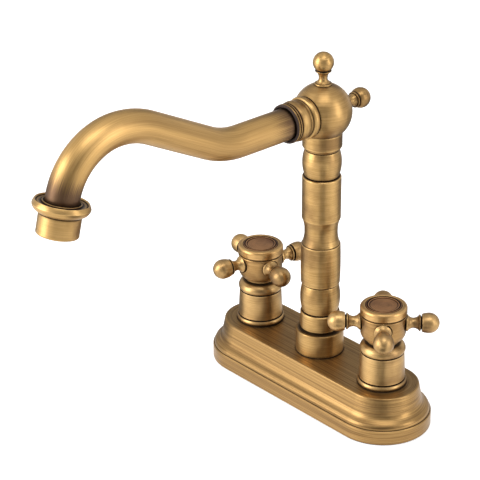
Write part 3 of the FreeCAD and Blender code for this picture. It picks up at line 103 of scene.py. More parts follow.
# %% Place the camera
AIM = Vector((-0.0300, -0.0342, 0.0948))
CAMERA_DISTANCE = 1.2042
CAMERA_LENS, CAMERA_SENSOR = 160.7, 36.0
azimuth, elevation, roll = (math.radians(angle) for angle in (48.72, 26.35, -0.27))
back = Vector((math.sin(azimuth) * math.cos(elevation), -math.cos(azimuth) * math.cos(elevation),
               math.sin(elevation)))
right = Vector((math.cos(azimuth), math.sin(azimuth), 0))
up = back.cross(right)
rolled_right = right * math.cos(roll) + up * math.sin(roll)
rolled_up = up * math.cos(roll) - right * math.sin(roll)
camera = bpy.data.objects.new("camera", bpy.data.cameras.new("camera"))
camera.data.lens, camera.data.sensor_width = CAMERA_LENS, CAMERA_SENSOR
camera.data.clip_start, camera.data.clip_end = 0.05, 20
camera.matrix_world = Matrix((rolled_right, rolled_up, back)).transposed().to_4x4()
camera.location = AIM + back * CAMERA_DISTANCE
bpy.context.collection.objects.link(camera)
bpy.context.scene.camera = camera
print("camera at", [round(v, 3) for v in camera.location])

# %% [markdown]
# ## Small helpers for node trees
#
# Shader and geometry trees are long when every node takes three lines. One helper makes a node, sets its
# settings, and either links or fills each input, so that a tree reads like a list of operations.

# %% Node helper
def add(tree, kind, inputs=None, **settings):
    """Make one node. A value in inputs that is a socket is linked, and any other value is set."""
    node = tree.nodes.new(kind)
    for name, value in settings.items():
        setattr(node, name, value)
    for name, value in (inputs or {}).items():
        if isinstance(value, bpy.types.NodeSocket):
            tree.links.new(value, node.inputs[name])
        else:
            node.inputs[name].default_value = value
    return node


def math_node(tree, operation, *values):
    return add(tree, "ShaderNodeMath", dict(enumerate(values)), operation=operation).outputs[0]


def vector_node(tree, operation, *values, output="Vector"):
    return add(tree, "ShaderNodeVectorMath", dict(enumerate(values)), operation=operation).outputs[output]


def blend_colour(tree, factor, low, high):
    """Colour that goes from low at 0 to high at 1. Each may be a socket or an RGB triple."""
    low, high = (c if isinstance(c, bpy.types.NodeSocket) else (*c, 1.0) for c in (low, high))
    return add(tree, "ShaderNodeMix", {0: factor, 6: low, 7: high}, data_type="RGBA").outputs[2]


def spread(tree, value, low, high, to_low=0.0, to_high=1.0):
    """Stretch low..high of a value over to_low..to_high, with soft ends."""
    inputs = {"Value": value, 1: low, 2: high, 3: to_low, 4: to_high}
    return add(tree, "ShaderNodeMapRange", inputs, interpolation_type="SMOOTHSTEP").outputs[0]


def new_material(name):
    material = bpy.data.materials.new(name)
    material.use_nodes = True
    return material, material.node_tree, material.node_tree.nodes["Principled BSDF"]

# %% [markdown]
# ## Studio
#
# Bright metal shows its surroundings more than its own colour. The studio is a white room with a pale floor,
# soft lights left, right and above, and grey and dark cards in front and behind, which only reflections see.
# That is how polished metal is set up in a studio: the cards give round pieces the dark stripe and dark edges
# that make them look round, which a plain white room can't. The floor and the room are white to the camera
# and in reflections, so only a soft shadow stays.

# %% Room, floor, cards and lights
scene = bpy.context.scene
scene.view_settings.view_transform = "Standard"


def sees_backdrop(tree):
    """1 for rays from the camera, from gloss and through glass, and 0 for the light that falls on things."""
    path = add(tree, "ShaderNodeLightPath").outputs
    mirrored = math_node(tree, "MAXIMUM", path["Is Glossy Ray"], path["Is Transmission Ray"])
    return math_node(tree, "MAXIMUM", path["Is Camera Ray"], mirrored)


ROOM_LIGHT = 0.55        # how strongly the white room lights things
FLOOR_GLOW = 0.62        # lifts the floor to plain white for the camera and in reflections
FLOOR_LEVEL = -0.0004    # a hair below the gasket's face, which lies at 0
CARD_LEVEL = 0.0006      # the cards that lie on the floor are a hair above it
world = bpy.data.worlds.new("room")
scene.world = world
world.use_nodes = True
room = world.node_tree
room_level = add(room, "ShaderNodeMapRange", {"Value": sees_backdrop(room), 3: ROOM_LIGHT, 4: 1.0}).outputs[0]
room.links.new(room_level, room.nodes["Background"].inputs["Strength"])
room.nodes["Background"].inputs["Color"].default_value = (1, 1, 1, 1)


def sheet_object(name, width, height, material):
    """Flat card, width by height, standing in its own X-Z plane."""
    mesh = bpy.data.meshes.new(name)
    x, z = width / 2, height / 2
    mesh.from_pydata([(-x, 0, -z), (x, 0, -z), (x, 0, z), (-x, 0, z)], [], [(0, 1, 2, 3)])
    mesh.materials.append(material)
    card = bpy.data.objects.new(name, mesh)
    bpy.context.collection.objects.link(card)
    return card


floor_white, tree, bsdf = new_material("floor_white")
bsdf.inputs["Base Color"].default_value = (0.8, 0.8, 0.8, 1)
bsdf.inputs["Roughness"].default_value = 0.9
bsdf.inputs["Specular IOR Level"].default_value = 0.0
bsdf.inputs["Emission Color"].default_value = (1, 1, 1, 1)
glow = math_node(tree, "MULTIPLY", sees_backdrop(tree), FLOOR_GLOW)
tree.links.new(glow, bsdf.inputs["Emission Strength"])
floor = sheet_object("floor", 8.0, 8.0, floor_white)
floor.rotation_euler.x = -math.pi / 2
floor.location.z = FLOOR_LEVEL


def card_material(name, level):
    material, tree, bsdf = new_material(name)
    bsdf.inputs["Base Color"].default_value = (level, level, level, 1)
    bsdf.inputs["Roughness"].default_value = 1.0
    return material


def only_in_reflections(card):
    card.visible_camera = card.visible_diffuse = card.visible_shadow = card.visible_transmission = False


def heading(bearing):
    """Level direction at a bearing in degrees from the camera's, to the right if positive."""
    turn = azimuth + math.radians(bearing)
    return Vector((math.sin(turn), -math.cos(turn), 0))


def standing_card(name, bearing, distance, width, bottom, top, level):
    """Upright card that faces the tap. Level is how light its grey is."""
    card = sheet_object(name, width, top - bottom, card_material(name, level))
    card.location = heading(bearing) * distance + Vector((0, 0, (bottom + top) / 2))
    card.rotation_euler.z = azimuth + math.radians(bearing)
    only_in_reflections(card)


def lying_card(name, first, last, near, far, level):
    """Part of a ring just above the floor, between two bearings and two distances."""
    count = 13
    steps = np.linspace(first, last, count)
    points = [heading(b) * r + UP * CARD_LEVEL for r in (near, far) for b in steps]
    faces = [(i, i + 1, i + count + 1, i + count) for i in range(count - 1)]
    mesh = bpy.data.meshes.new(name)
    mesh.from_pydata([tuple(p) for p in points], [], faces)
    mesh.materials.append(card_material(name, level))
    card = bpy.data.objects.new(name, mesh)
    bpy.context.collection.objects.link(card)
    only_in_reflections(card)


standing_card("front_card", 0, 1.6, 1.5, -0.1, 1.7, 0.35)
standing_card("back_card", 180, 1.3, 1.6, 0.25, 1.3, 0.40)
lying_card("front_flag", -15, 22, 0.10, 0.36, 0.08)
lying_card("left_back_flag", -180, -112, 0.10, 0.9, 0.22)
lying_card("right_back_flag", 104, 180, 0.10, 0.9, 0.28)


MIDDLE_OF_TAP = Vector((0, -0.03, 0.09))


def soft_light(name, bearing, height, distance, width, tall, power):
    """Area light aimed at the middle of the tap, at a bearing in degrees from the camera's direction."""
    data = bpy.data.lights.new(name, "AREA")
    data.shape, data.size, data.size_y, data.energy = "RECTANGLE", width, tall, power
    light = bpy.data.objects.new(name, data)
    light.location = heading(bearing) * distance + Vector((0, 0, height))
    aim = MIDDLE_OF_TAP - light.location
    light.rotation_euler = aim.to_track_quat("-Z", "Y").to_euler()
    bpy.context.collection.objects.link(light)
    return light


soft_light("left_softbox", -72, 0.55, 1.3, 0.8, 1.1, 16)
soft_light("right_softbox", 62, 0.50, 1.3, 0.45, 1.1, 6)
soft_light("top_softbox", 10, 1.5, 0.5, 0.9, 0.6, 7)
print("room, floor, five cards and", len(bpy.data.lights), "soft lights")

# %% [markdown]
# ## Turned pieces
#
# On the real tap the bells, rings, beads and balls come off a lathe: a bar spins and a tool follows a line.
# A Screw modifier could copy that, but here the outline should come from the measured model and every arris
# should be broken by a hair, because it is the small rounded corner that catches the light. So the work has
# three steps: cut the model's solid open along its axis to read the outline, round the outline's corners, and
# let Geometry Nodes sweep it round the axis again.

# %% Read a turned piece's outline
TINY = 2e-6       # what is nearer than this to a plane or a line counts as on it


def frame_of(axis):
    """Rotation whose Z is the turning axis."""
    axis = axis.normalized()
    side = UP if abs(axis.z) < 0.9 else Vector((1, 0, 0))
    x = (side - axis * side.dot(axis)).normalized()
    return Matrix((x, axis.cross(x), axis)).transposed()


def merged_copy(node):
    """The node's solid as a bmesh with its doubled points joined."""
    solid = bmesh.new()
    solid.from_mesh(nodes[node].data)
    bmesh.ops.remove_doubles(solid, verts=solid.verts, dist=1e-7)
    return solid


def half_section(node, centre, axis):
    """Edges of the solid's cut through its axis, as points (radius, height) and pairs of their numbers."""
    solid = merged_copy(node)
    turn = frame_of(axis)
    solid.transform(turn.transposed().to_4x4() @ Matrix.Translation(-centre))
    places = np.array([v.co for v in solid.verts])
    radius = np.hypot(places[:, 0], places[:, 1])
    angles = np.round(np.degrees(np.arctan2(places[:, 1], places[:, 0]))[radius > 0.3 * radius.max()], 2)
    values, counts = np.unique(angles, return_counts=True)
    solid.transform(Matrix.Rotation(-math.radians(float(values[counts.argmax()])), 4, "Z"))
    for normal, clear_behind in (((1, 0, 0), True), ((0, 1, 0), False)):
        whole = solid.verts[:] + solid.edges[:] + solid.faces[:]
        bmesh.ops.bisect_plane(solid, geom=whole, dist=TINY, plane_co=(0, 0, 0), plane_no=normal,
                               clear_inner=clear_behind)
    on_plane = {v for v in solid.verts if abs(v.co.y) < 2 * TINY}
    edges = [e for e in solid.edges if e.verts[0] in on_plane and e.verts[1] in on_plane
             and max(v.co.x for v in e.verts) > 2 * TINY]
    numbers = {v: i for i, v in enumerate(dict.fromkeys(v for e in edges for v in e.verts))}
    points = np.array([(max(v.co.x, 0.0), v.co.z) for v in numbers])
    pairs = [(numbers[e.verts[0]], numbers[e.verts[1]]) for e in edges]
    solid.free()
    return points, pairs


def chains(points, pairs):
    """The section's edges put in order. An open chain starts and ends on the axis."""
    beside = {i: [] for i in range(len(points))}
    for a, b in pairs:
        beside[a].append(b)
        beside[b].append(a)
    unused = set(beside)
    found = []
    while unused:
        ends = [i for i in unused if len(beside[i]) == 1]
        start = here = ends[0] if ends else next(iter(unused))
        line, last = [here], None
        while True:
            unused.discard(here)
            closes = start if len(line) > 2 else None
            onward = [i for i in beside[here] if i != last and (i in unused or i == closes)]
            if not onward or onward[0] == start:
                break
            last, here = here, onward[0]
            line.append(here)
        found.append((points[line], not ends))
    return found


sleeve_cut = chains(*half_section("column_sleeve", column_axis, UP))
print("the sleeve's outline has", len(sleeve_cut[0][0]), "points")

# %% [markdown]
# ## Broken corners, and hollows that the brush misses
#
# Brushing bares the metal on proud corners and can't reach into tight hollows. Both can be read from the
# outline. A proud corner is a sharp outward turn. A hollow is tight if only a ball smaller than the brush's
# own radius can touch the outline there from outside. Painted masks would do it too, but this way a changed
# outline carries its patina with it.

# %% Break the corners
CORNER_RADIUS = 0.00040
CORNER_TURN = math.radians(22)                          # a softer turn is a facet of a curve
FADE = ((0.00008, 0.8), (0.0003, 0.4), (0.0007, 0.0))   # distance from a proud corner, wear left there
NEAR_CORNERS = (0.0003, 0.0008, 0.0016)                 # where points are added beside every corner
ARC_POINTS = 6
SAME_POINT = 5e-6                                       # points nearer than this are one point
STRAIGHT = math.radians(0.4)                            # a smaller turn is none


def clean_line(line, closed):
    """Drop repeated points and points on a straight run."""
    kept = [line[0]]
    for point in line[1:]:
        if np.hypot(*(point - kept[-1])) > SAME_POINT:
            kept.append(point)
    if closed and np.hypot(*(kept[0] - kept[-1])) < SAME_POINT:
        kept.pop()
    count = len(kept)
    result = []
    for i, point in enumerate(kept):
        if not closed and i in (0, count - 1):
            result.append(point)
            continue
        before, after = point - kept[i - 1], kept[(i + 1) % count] - point
        turn = math.atan2(before[0] * after[1] - before[1] * after[0], before @ after)
        if abs(turn) > STRAIGHT:
            result.append(point)
    return np.array(result)


def outward_sign(line):
    """+1 or -1 for the way round that the outline runs."""
    loop = np.vstack([line, line[:1]])
    return math.copysign(1.0, np.sum(loop[:-1, 0] * loop[1:, 1] - loop[1:, 0] * loop[:-1, 1]))


def rounded(line, closed, radius=CORNER_RADIUS):
    """Round every corner. Returns points and their wear: 1 on a proud corner, -1 in a tight hollow."""
    line = clean_line(line, closed)
    sign = outward_sign(line)
    count = len(line)
    points, wear = [], []
    for i, point in enumerate(line):
        if not closed and i in (0, count - 1):
            points.append(point)
            wear.append(0.0)
            continue
        before, after = point - line[i - 1], line[(i + 1) % count] - point
        lengths = np.hypot(*before), np.hypot(*after)
        turn = math.atan2(before[0] * after[1] - before[1] * after[0], before @ after)
        if abs(turn) < CORNER_TURN:
            points.append(point)
            wear.append(0.0)
            continue
        proud = float(turn * sign > 0)
        cut = min(radius * math.tan(abs(turn) / 2), 0.3 * lengths[0], 0.3 * lengths[1])
        start, end = point - before / lengths[0] * cut, point + after / lengths[1] * cut
        for distance, level in reversed(FADE):
            if distance + cut < 0.46 * lengths[0]:
                points.append(start - before / lengths[0] * distance)
                wear.append(level * proud)
        for t in np.linspace(0, 1, ARC_POINTS):
            points.append((1 - t) ** 2 * start + 2 * t * (1 - t) * point + t ** 2 * end)
            wear.append(proud)
        for distance, level in FADE:
            if distance + cut < 0.46 * lengths[1]:
                points.append(end + after / lengths[1] * distance)
                wear.append(level * proud)
    points, wear = more_points(np.array(points), np.array(wear), closed)
    missed = patina_of(points, closed, sign)
    return points, np.where(missed > 0.05, -missed, wear)


def more_points(points, wear, closed):
    """Add points near the ends of each long run, so that patina can fade there."""
    after = np.roll(points, -1, axis=0)
    wear_after = np.roll(wear, -1)
    all_points, all_wear = [], []
    for i, point in enumerate(points):
        all_points.append(point)
        all_wear.append(wear[i])
        if not closed and i == len(points) - 1:
            break
        length = np.hypot(*(after[i] - point))
        near = [d / length for d in NEAR_CORNERS if d < 0.45 * length]
        for share in near + [1 - share for share in reversed(near)]:
            all_points.append(point + (after[i] - point) * share)
            all_wear.append(wear[i] + (wear_after[i] - wear[i]) * share)
    return np.array(all_points), np.array(all_wear)


print("corners are broken by", 1000 * CORNER_RADIUS, "mm")

# %% Find the hollows
BRUSH_RADIUS = 0.0017


def patina_of(points, closed, sign):
    """1 where only a tiny ball can touch the outline from outside, 0 where a ball of BRUSH_RADIUS fits."""
    ahead = np.roll(points, -1, axis=0) - points
    if not closed:
        ahead[-1] = points[-1] - points[-2]
    ahead /= np.hypot(*ahead.T)[:, None]
    behind = np.roll(ahead, 1, axis=0)
    if not closed:
        behind[0] = ahead[0]
    run = ahead + behind
    outward = np.stack([run[:, 1], -run[:, 0]], axis=1) * sign / np.maximum(np.hypot(*run.T), 1e-9)[:, None]
    gap = points[None] - points[:, None]
    height = (gap * outward[:, None]).sum(axis=2)
    ball = np.where(height > TINY, (gap ** 2).sum(axis=2) / (2 * np.maximum(height, 1e-9)), 1.0).min(axis=1)
    return np.clip(1.3 * (1 - ball / BRUSH_RADIUS), 0, 1)


sleeve_line, sleeve_wear = rounded(*sleeve_cut[0])
print("once rounded it has", len(sleeve_line), "points,", int((sleeve_wear < 0).sum()), "of them in hollows")

# %% [markdown]
# ## The lathe in Geometry Nodes
#
# Curve to Mesh sweeps a profile along a curve, and round a circle it does what a lathe does. A profile's
# first coordinate then goes out along the radius and its second goes down, so the outline is written that way
# before it enters the tree. Each point keeps its place against the turning axis in an attribute, so that one
# brass can brush every piece round its own axis. A Screw modifier would give the same surface, but the tree
# also carries the wear of each corner from the outline on to the skin.

# %% Geometry tree helpers
def geometry_tree(name, inputs):
    """A new tree that takes a geometry and the named inputs, with its input and output nodes."""
    tree = bpy.data.node_groups.new(name, "GeometryNodeTree")
    tree.interface.new_socket("Geometry", in_out="INPUT", socket_type="NodeSocketGeometry")
    tree.interface.new_socket("Geometry", in_out="OUTPUT", socket_type="NodeSocketGeometry")
    for label, kind in inputs.items():
        tree.interface.new_socket(label, in_out="INPUT", socket_type=kind)
    return tree, tree.nodes.new("NodeGroupInput").outputs, tree.nodes.new("NodeGroupOutput").inputs


def made_by(tree, mesh, values):
    """Run a tree on a mesh and return the result as a plain mesh."""
    carrier = bpy.data.objects.new("carrier", mesh)
    bpy.context.collection.objects.link(carrier)
    modifier = carrier.modifiers.new("made", "NODES")
    modifier.node_group = tree
    identifiers = {item.name: item.identifier for item in tree.interface.items_tree if item.in_out == "INPUT"}
    for label, value in values.items():
        modifier[identifiers[label]] = value
    evaluated = carrier.evaluated_get(bpy.context.evaluated_depsgraph_get())
    result = bpy.data.meshes.new_from_object(evaluated)
    bpy.data.objects.remove(carrier)
    bpy.data.meshes.remove(mesh)
    return result


def finish_tree(tree, geometry, outputs, material):
    """End a sweep's tree: doubles joined, smooth, real geometry, one material."""
    joined = add(tree, "GeometryNodeMergeByDistance", {"Geometry": geometry, "Distance": 1e-7}).outputs[0]
    smooth = add(tree, "GeometryNodeSetShadeSmooth", {"Geometry": joined}).outputs[0]
    real = add(tree, "GeometryNodeRealizeInstances", {"Geometry": smooth}).outputs[0]
    painted = add(tree, "GeometryNodeSetMaterial", {"Geometry": real, "Material": material}).outputs[0]
    tree.links.new(painted, outputs[0])


def remember_place(tree, geometry):
    """Keep each point's place against the turning axis, which is Z while the piece is being turned."""
    place = add(tree, "GeometryNodeInputPosition").outputs[0]
    return add(tree, "GeometryNodeStoreNamedAttribute",
               {"Geometry": geometry, "Name": "turned_at", "Value": place},
               data_type="FLOAT_VECTOR", domain="POINT").outputs[0]

# %% The lathe
RING = 0.05       # radius of the circle that carries the profile

lathe, given, taken = geometry_tree("lathe", {"Facets": "NodeSocketInt", "Ring Radius": "NodeSocketFloat",
                                              "Material": "NodeSocketMaterial"})
outline = add(lathe, "GeometryNodeMeshToCurve", {"Mesh": given["Geometry"]}).outputs[0]
ring = add(lathe, "GeometryNodeCurvePrimitiveCircle",
           {"Resolution": given["Facets"], "Radius": given["Ring Radius"]}).outputs[0]
skin = add(lathe, "GeometryNodeCurveToMesh", {"Curve": ring, "Profile Curve": outline}).outputs[0]
finish_tree(lathe, remember_place(lathe, skin), taken, given["Material"])


def outline_mesh(node, centre, axis, radius=CORNER_RADIUS, sink=None):
    """The node's rounded outline as loose edges for the lathe. Sink is (radius, depth): what lies at that
    radius goes in by that depth.
    """
    points, links, worn = [], [], []
    for line, closed in chains(*half_section(node, centre, axis)):
        if sink:
            line[:, 0] -= np.where(np.abs(line[:, 0] - sink[0]) < 5e-5, sink[1], 0.0)
        line, wear = rounded(line, closed, radius)
        first = len(points)
        points += [(r - RING, -z, 0.0) for r, z in line]
        links += [(first + i, first + i + 1) for i in range(len(line) - 1)]
        if closed:
            links.append((first + len(line) - 1, first))
        worn += list(wear)
    mesh = bpy.data.meshes.new("outline")
    mesh.from_pydata(points, links, [])
    mesh.attributes.new("worn", "FLOAT", "POINT").data.foreach_set("value", worn)
    return mesh


def faces_out(mesh):
    """Join doubles and turn every face outwards."""
    solid = bmesh.new()
    solid.from_mesh(mesh)
    bmesh.ops.remove_doubles(solid, verts=solid.verts, dist=1e-7)
    bmesh.ops.recalc_face_normals(solid, faces=solid.faces)
    solid.to_mesh(mesh)
    solid.free()


def lay_turning_map(mesh):
    """UV map whose U runs round the turning axis, so that brushing has a direction."""
    places = np.empty(len(mesh.vertices) * 3, np.float32)
    mesh.attributes["turned_at"].data.foreach_get("vector", places)
    places = places.reshape(-1, 3)
    corner_vertex = np.empty(len(mesh.loops), np.int32)
    mesh.loops.foreach_get("vertex_index", corner_vertex)
    turn = np.arctan2(places[:, 1], places[:, 0])[corner_vertex]
    radius = np.hypot(places[:, 0], places[:, 1])[corner_vertex]
    owner = np.repeat(np.arange(len(mesh.polygons)), [p.loop_total for p in mesh.polygons])
    top = np.full(len(mesh.polygons), -10.0)
    np.maximum.at(top, owner, np.where(radius > 1e-7, turn, -10.0))
    turn = np.where(radius > 1e-7, turn, top[owner])
    turn = np.where(top[owner] - turn > math.pi, turn + 2 * math.pi, turn)
    height = places[:, 2][corner_vertex] - radius
    uv = np.stack([turn / (2 * math.pi), height * 20], axis=1).astype(np.float32)
    mesh.uv_layers.new(name="turning").data.foreach_set("uv", uv.ravel())

# %% [markdown]
# ## Brushed antique brass
#
# Antique brass is brass that was darkened in a bath and then brushed until the metal came back on everything
# the brush could reach. So the finish has three parts: a warm base with fine lines that run the way the brush
# ran, a brown patina left in tight grooves and in soft clouds, and brighter metal on the proud corners. The
# same brown is also painted as shade wherever other surfaces are near: in grooves, under rims and round other
# pieces.
# Lines could be painted with a stretched texture on a flat map, but noise over round coordinates has no seam:
# height and radius are stretched finely, and the direction round the axis is left coarse.

# %% Brass colours and the shader
BRIGHT_BRASS = (0.55, 0.350, 0.138)
WARM_BRASS = (0.30, 0.176, 0.060)
BROWN_BRASS = (0.135, 0.072, 0.030)
STAINED_BRASS = (0.075, 0.042, 0.029)
PATINA_AND_SHADE = (0.026, 0.014, 0.009)
OPEN_VIEW, DEEP_VIEW = 0.93, 0.52        # how much of its surroundings an open spot and a deep groove see
THICK_SKIN, THIN_SKIN = 0.85, 0.45       # the same, seen into the metal, on a flat and on an arris
# how strongly worn corners show, and how strongly the painted crevice shade shows
WEAR_SHOWS, CREVICE_SHADE_SHOWS = 0.75, 0.85
BRUSHED_ROUGHNESS, PATINA_AND_SHADE_ROUGHNESS = (0.34, 0.45), 0.25


def crevice_shade(tree, reach):
    """Painted shade and groove patina: 0 in the open, rising to 1 deep in a groove or under a rim. A wall
    counts if it is within reach.
    """
    shade = add(tree, "ShaderNodeAmbientOcclusion", {"Distance": reach}, samples=8).outputs["AO"]
    return spread(tree, shade, OPEN_VIEW, DEEP_VIEW)


def arris(tree, distance=0.0006):
    """1 on a proud corner, where the other face is just under the skin, and 0 on a flat."""
    depth = add(tree, "ShaderNodeAmbientOcclusion", {"Distance": distance}, samples=8, inside=True)
    return spread(tree, depth.outputs["AO"], THICK_SKIN, THIN_SKIN)


def brass_shader(tree, bsdf, grain, clouds, worn, hollow=0.0, stain=0.0, tone=(1, 1, 1), contrast=0.5,
                 cloudiness=0.7, reach=0.0032):
    """Colour, gloss and relief of the brass, from its grain, clouds, worn corners, hollows, stains and
    painted shade.
    """
    def toned(colour):
        return tuple(channel * share for channel, share in zip(colour, tone))
    streaks = spread(tree, grain, 0.3, 0.7, 0.5 - contrast, 0.5 + contrast)
    body = blend_colour(tree, streaks, toned(WARM_BRASS), toned(BRIGHT_BRASS))
    cloudy = math_node(tree, "MULTIPLY", spread(tree, clouds, 0.40, 0.70), cloudiness)
    body = blend_colour(tree, cloudy, body, toned(BROWN_BRASS))
    body = blend_colour(tree, stain, body, STAINED_BRASS)
    body = blend_colour(tree, math_node(tree, "MULTIPLY", worn, WEAR_SHOWS), body, toned(BRIGHT_BRASS))
    # patina in tight hollows, and painted shade in grooves, under rims and round other pieces
    patina_and_shade = math_node(tree, "MAXIMUM", math_node(tree, "MULTIPLY", crevice_shade(tree, reach), CREVICE_SHADE_SHOWS), hollow)
    body = blend_colour(tree, patina_and_shade, body, PATINA_AND_SHADE)
    tree.links.new(body, bsdf.inputs["Base Color"])
    rough = math_node(tree, "ADD", spread(tree, grain, 0.25, 0.75, *BRUSHED_ROUGHNESS),
                      math_node(tree, "MULTIPLY", patina_and_shade, PATINA_AND_SHADE_ROUGHNESS))
    tree.links.new(rough, bsdf.inputs["Roughness"])
    relief = add(tree, "ShaderNodeBump", {"Strength": 0.25, "Distance": 0.00003, "Height": grain}).outputs[0]
    tree.links.new(relief, bsdf.inputs["Normal"])
    bsdf.inputs["Metallic"].default_value = 1.0


def brush_along(tree, bsdf, run, strength=0.5):
    """Stretch the highlight across the brush lines, whose direction is run in the piece's own coordinates."""
    run = add(tree, "ShaderNodeVectorTransform", {0: run}, vector_type="VECTOR", convert_from="OBJECT",
              convert_to="WORLD").outputs[0]
    tree.links.new(run, bsdf.inputs["Tangent"])
    bsdf.inputs["Anisotropic"].default_value = strength
    bsdf.inputs["Anisotropic Rotation"].default_value = 0.25


def clouds_of(tree, place, scale=55.0):
    return add(tree, "ShaderNodeTexNoise", {"Vector": place, "Scale": scale, "Detail": 3.0}).outputs[0]


print("brass goes from", BRIGHT_BRASS, "where it is bright to", PATINA_AND_SHADE, "in the grooves")

# %% Brush lines round an axis
LINES = 5200.0       # brush lines, counted per metre across the brush
COARSE_ROUND = 0.8   # how little the grain changes round the axis
DRIFT = 12.0         # how fast the grain changes along a straight side, per metre


def round_place(tree, place):
    """A place's level part, its distance from the Z axis, and its height."""
    split = add(tree, "ShaderNodeSeparateXYZ", {0: place})
    across = add(tree, "ShaderNodeCombineXYZ", {0: split.outputs[0], 1: split.outputs[1]}).outputs[0]
    return across, vector_node(tree, "LENGTH", across, output="Value"), split.outputs[2]


def off_ring(tree, radius, ring_radius):
    """How far a radius is from a ring's."""
    return math_node(tree, "ABSOLUTE", math_node(tree, "SUBTRACT", radius, ring_radius))


def turned_grain(tree, place, drift=0.0, lines=LINES):
    """Fine lines round the Z axis of the given place. Drift changes the lines slowly along a straight."""
    across, radius, height = round_place(tree, place)
    coarse = vector_node(tree, "SCALE", vector_node(tree, "NORMALIZE", across))
    coarse.node.inputs["Scale"].default_value = COARSE_ROUND
    outwards = math_node(tree, "MULTIPLY", radius, lines)
    fine = add(tree, "ShaderNodeCombineXYZ", {0: drift, 2: outwards}).outputs[0]
    return add(tree, "ShaderNodeTexNoise",
               {"Vector": vector_node(tree, "ADD", coarse, fine),
                "W": math_node(tree, "MULTIPLY", height, lines),
                "Scale": 1.0, "Detail": 2.0, "Roughness": 0.6}, noise_dimensions="4D").outputs[0]


def turned_brass(name, tone=(1, 1, 1), anisotropy=0.5, reach=0.0032, contrast=0.5, stained=(), rings=(),
                 ridge=0.0):
    """Brass for a piece from the lathe, which carries its place against the axis and its corner wear.

    Stained is (radius, height, clean radius): darker inside that radius and below that height, but not along
    a fine ring of the clean radius. Rings are the radii of scribed lines, and ridge is that of a fine proud
    line, which the brush keeps bright.
    """
    material, tree, bsdf = new_material(name)
    place = add(tree, "ShaderNodeAttribute", attribute_name="turned_at").outputs["Vector"]
    corner = add(tree, "ShaderNodeAttribute", attribute_name="worn").outputs["Fac"]
    whole = add(tree, "ShaderNodeTexCoord").outputs["Object"]
    radius, height = round_place(tree, place)[1:]
    hollow = math_node(tree, "MAXIMUM", math_node(tree, "MULTIPLY", corner, -1.0), 0.0)
    for ring_radius in rings:
        scribed = spread(tree, off_ring(tree, radius, ring_radius), 0.0001, 0.0003, 1.0, 0.0)
        hollow = math_node(tree, "MAXIMUM", hollow, scribed)
    worn = math_node(tree, "MAXIMUM", corner, 0.0)
    if ridge:
        bared = spread(tree, off_ring(tree, radius, ridge), 0.0002, 0.0004, 1.3, 0.0)
        worn = math_node(tree, "MAXIMUM", worn, bared)
    stain = 0.0
    if stained:
        within = spread(tree, radius, stained[0] - 0.0008, stained[0] + 0.0002, 0.85, 0.0)
        below = spread(tree, height, stained[1] - 0.0005, stained[1] + 0.0005, 1.0, 0.0)
        stain = math_node(tree, "MULTIPLY", math_node(tree, "MULTIPLY", within, below),
                          spread(tree, off_ring(tree, radius, stained[2]), 0.0002, 0.0005))
    brass_shader(tree, bsdf, turned_grain(tree, place), clouds_of(tree, whole),
                 worn=worn, hollow=hollow, stain=stain, tone=tone, contrast=contrast, reach=reach)
    bsdf.inputs["Anisotropic"].default_value = anisotropy
    bsdf.inputs["Anisotropic Rotation"].default_value = 0.25
    run = add(tree, "ShaderNodeTangent", direction_type="UV_MAP", uv_map="turning").outputs[0]
    tree.links.new(run, bsdf.inputs["Tangent"])
    return material


def loop_brass(name, centre, half_straight=0.0, tone=(1, 1, 1), contrast=0.35, cloudiness=0.7,
               reach=0.0032):
    """Brass brushed round an upright axis, or round a loop with two straight sides."""
    material, tree, bsdf = new_material(name)
    whole = add(tree, "ShaderNodeTexCoord").outputs["Object"]
    place = vector_node(tree, "SUBTRACT", whole, tuple(centre))
    x = add(tree, "ShaderNodeSeparateXYZ", {0: place}).outputs[0]
    straight = math_node(tree, "MAXIMUM", math_node(tree, "MINIMUM", x, half_straight), -half_straight)
    place = vector_node(tree, "SUBTRACT", place, add(tree, "ShaderNodeCombineXYZ", {0: straight}).outputs[0])
    grain = turned_grain(tree, place, math_node(tree, "MULTIPLY", straight, DRIFT))
    if half_straight:
        clouds = turned_grain(tree, place, math_node(tree, "MULTIPLY", straight, DRIFT / 2), lines=LINES / 5)
    else:
        clouds = clouds_of(tree, whole)
    brass_shader(tree, bsdf, grain, clouds, worn=arris(tree), tone=tone, contrast=contrast,
                 cloudiness=cloudiness, reach=reach)
    brush_along(tree, bsdf, vector_node(tree, "CROSS_PRODUCT", (0, 0, 1), place))
    return material

# %% The brasses
brass_turned = turned_brass("brass_turned", contrast=0.42)
# The handles and caps get lighter copies of the same brass through their tone: painted light.
lit_brass_handle = turned_brass("lit_brass_handle", tone=(1.15, 1.18, 1.28), contrast=0.3)
lit_brass_cap = turned_brass("lit_brass_cap", tone=(1.24, 1.21, 1.24), contrast=0.35)
disc_radius = (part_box("hot_index_disc")[1][0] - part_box("hot_index_disc")[0][0]) / 2
brass_index = turned_brass("brass_index", tone=(1.02, 0.82, 0.92), anisotropy=0.3, reach=0.0005,
                           rings=(0.92 * disc_radius,), ridge=0.84 * disc_radius)
nozzle_rim = (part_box("spout_nozzle")[1][0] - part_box("spout_nozzle")[0][0]) / 2
tube_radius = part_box("spout_tube")[1][0]
RIM_WIDTH, DISH_HEIGHT, CLEAN_RING = 0.0030, -0.0035, 0.00095
brass_nozzle = turned_brass("brass_nozzle", contrast=0.25,
                            stained=(nozzle_rim - RIM_WIDTH, DISH_HEIGHT, tube_radius + CLEAN_RING))
print("brasses:", [m.name for m in (brass_turned, lit_brass_handle, lit_brass_cap, brass_index, brass_nozzle)])

# %% [markdown]
# ## Bells, caps, rings, beads and finials
#
# These pieces differ only in outline and axis, so one function makes them all, and each finished piece stands
# for the model's own solid. The print compares the volume of both, which shows at once if an outline was
# misread.

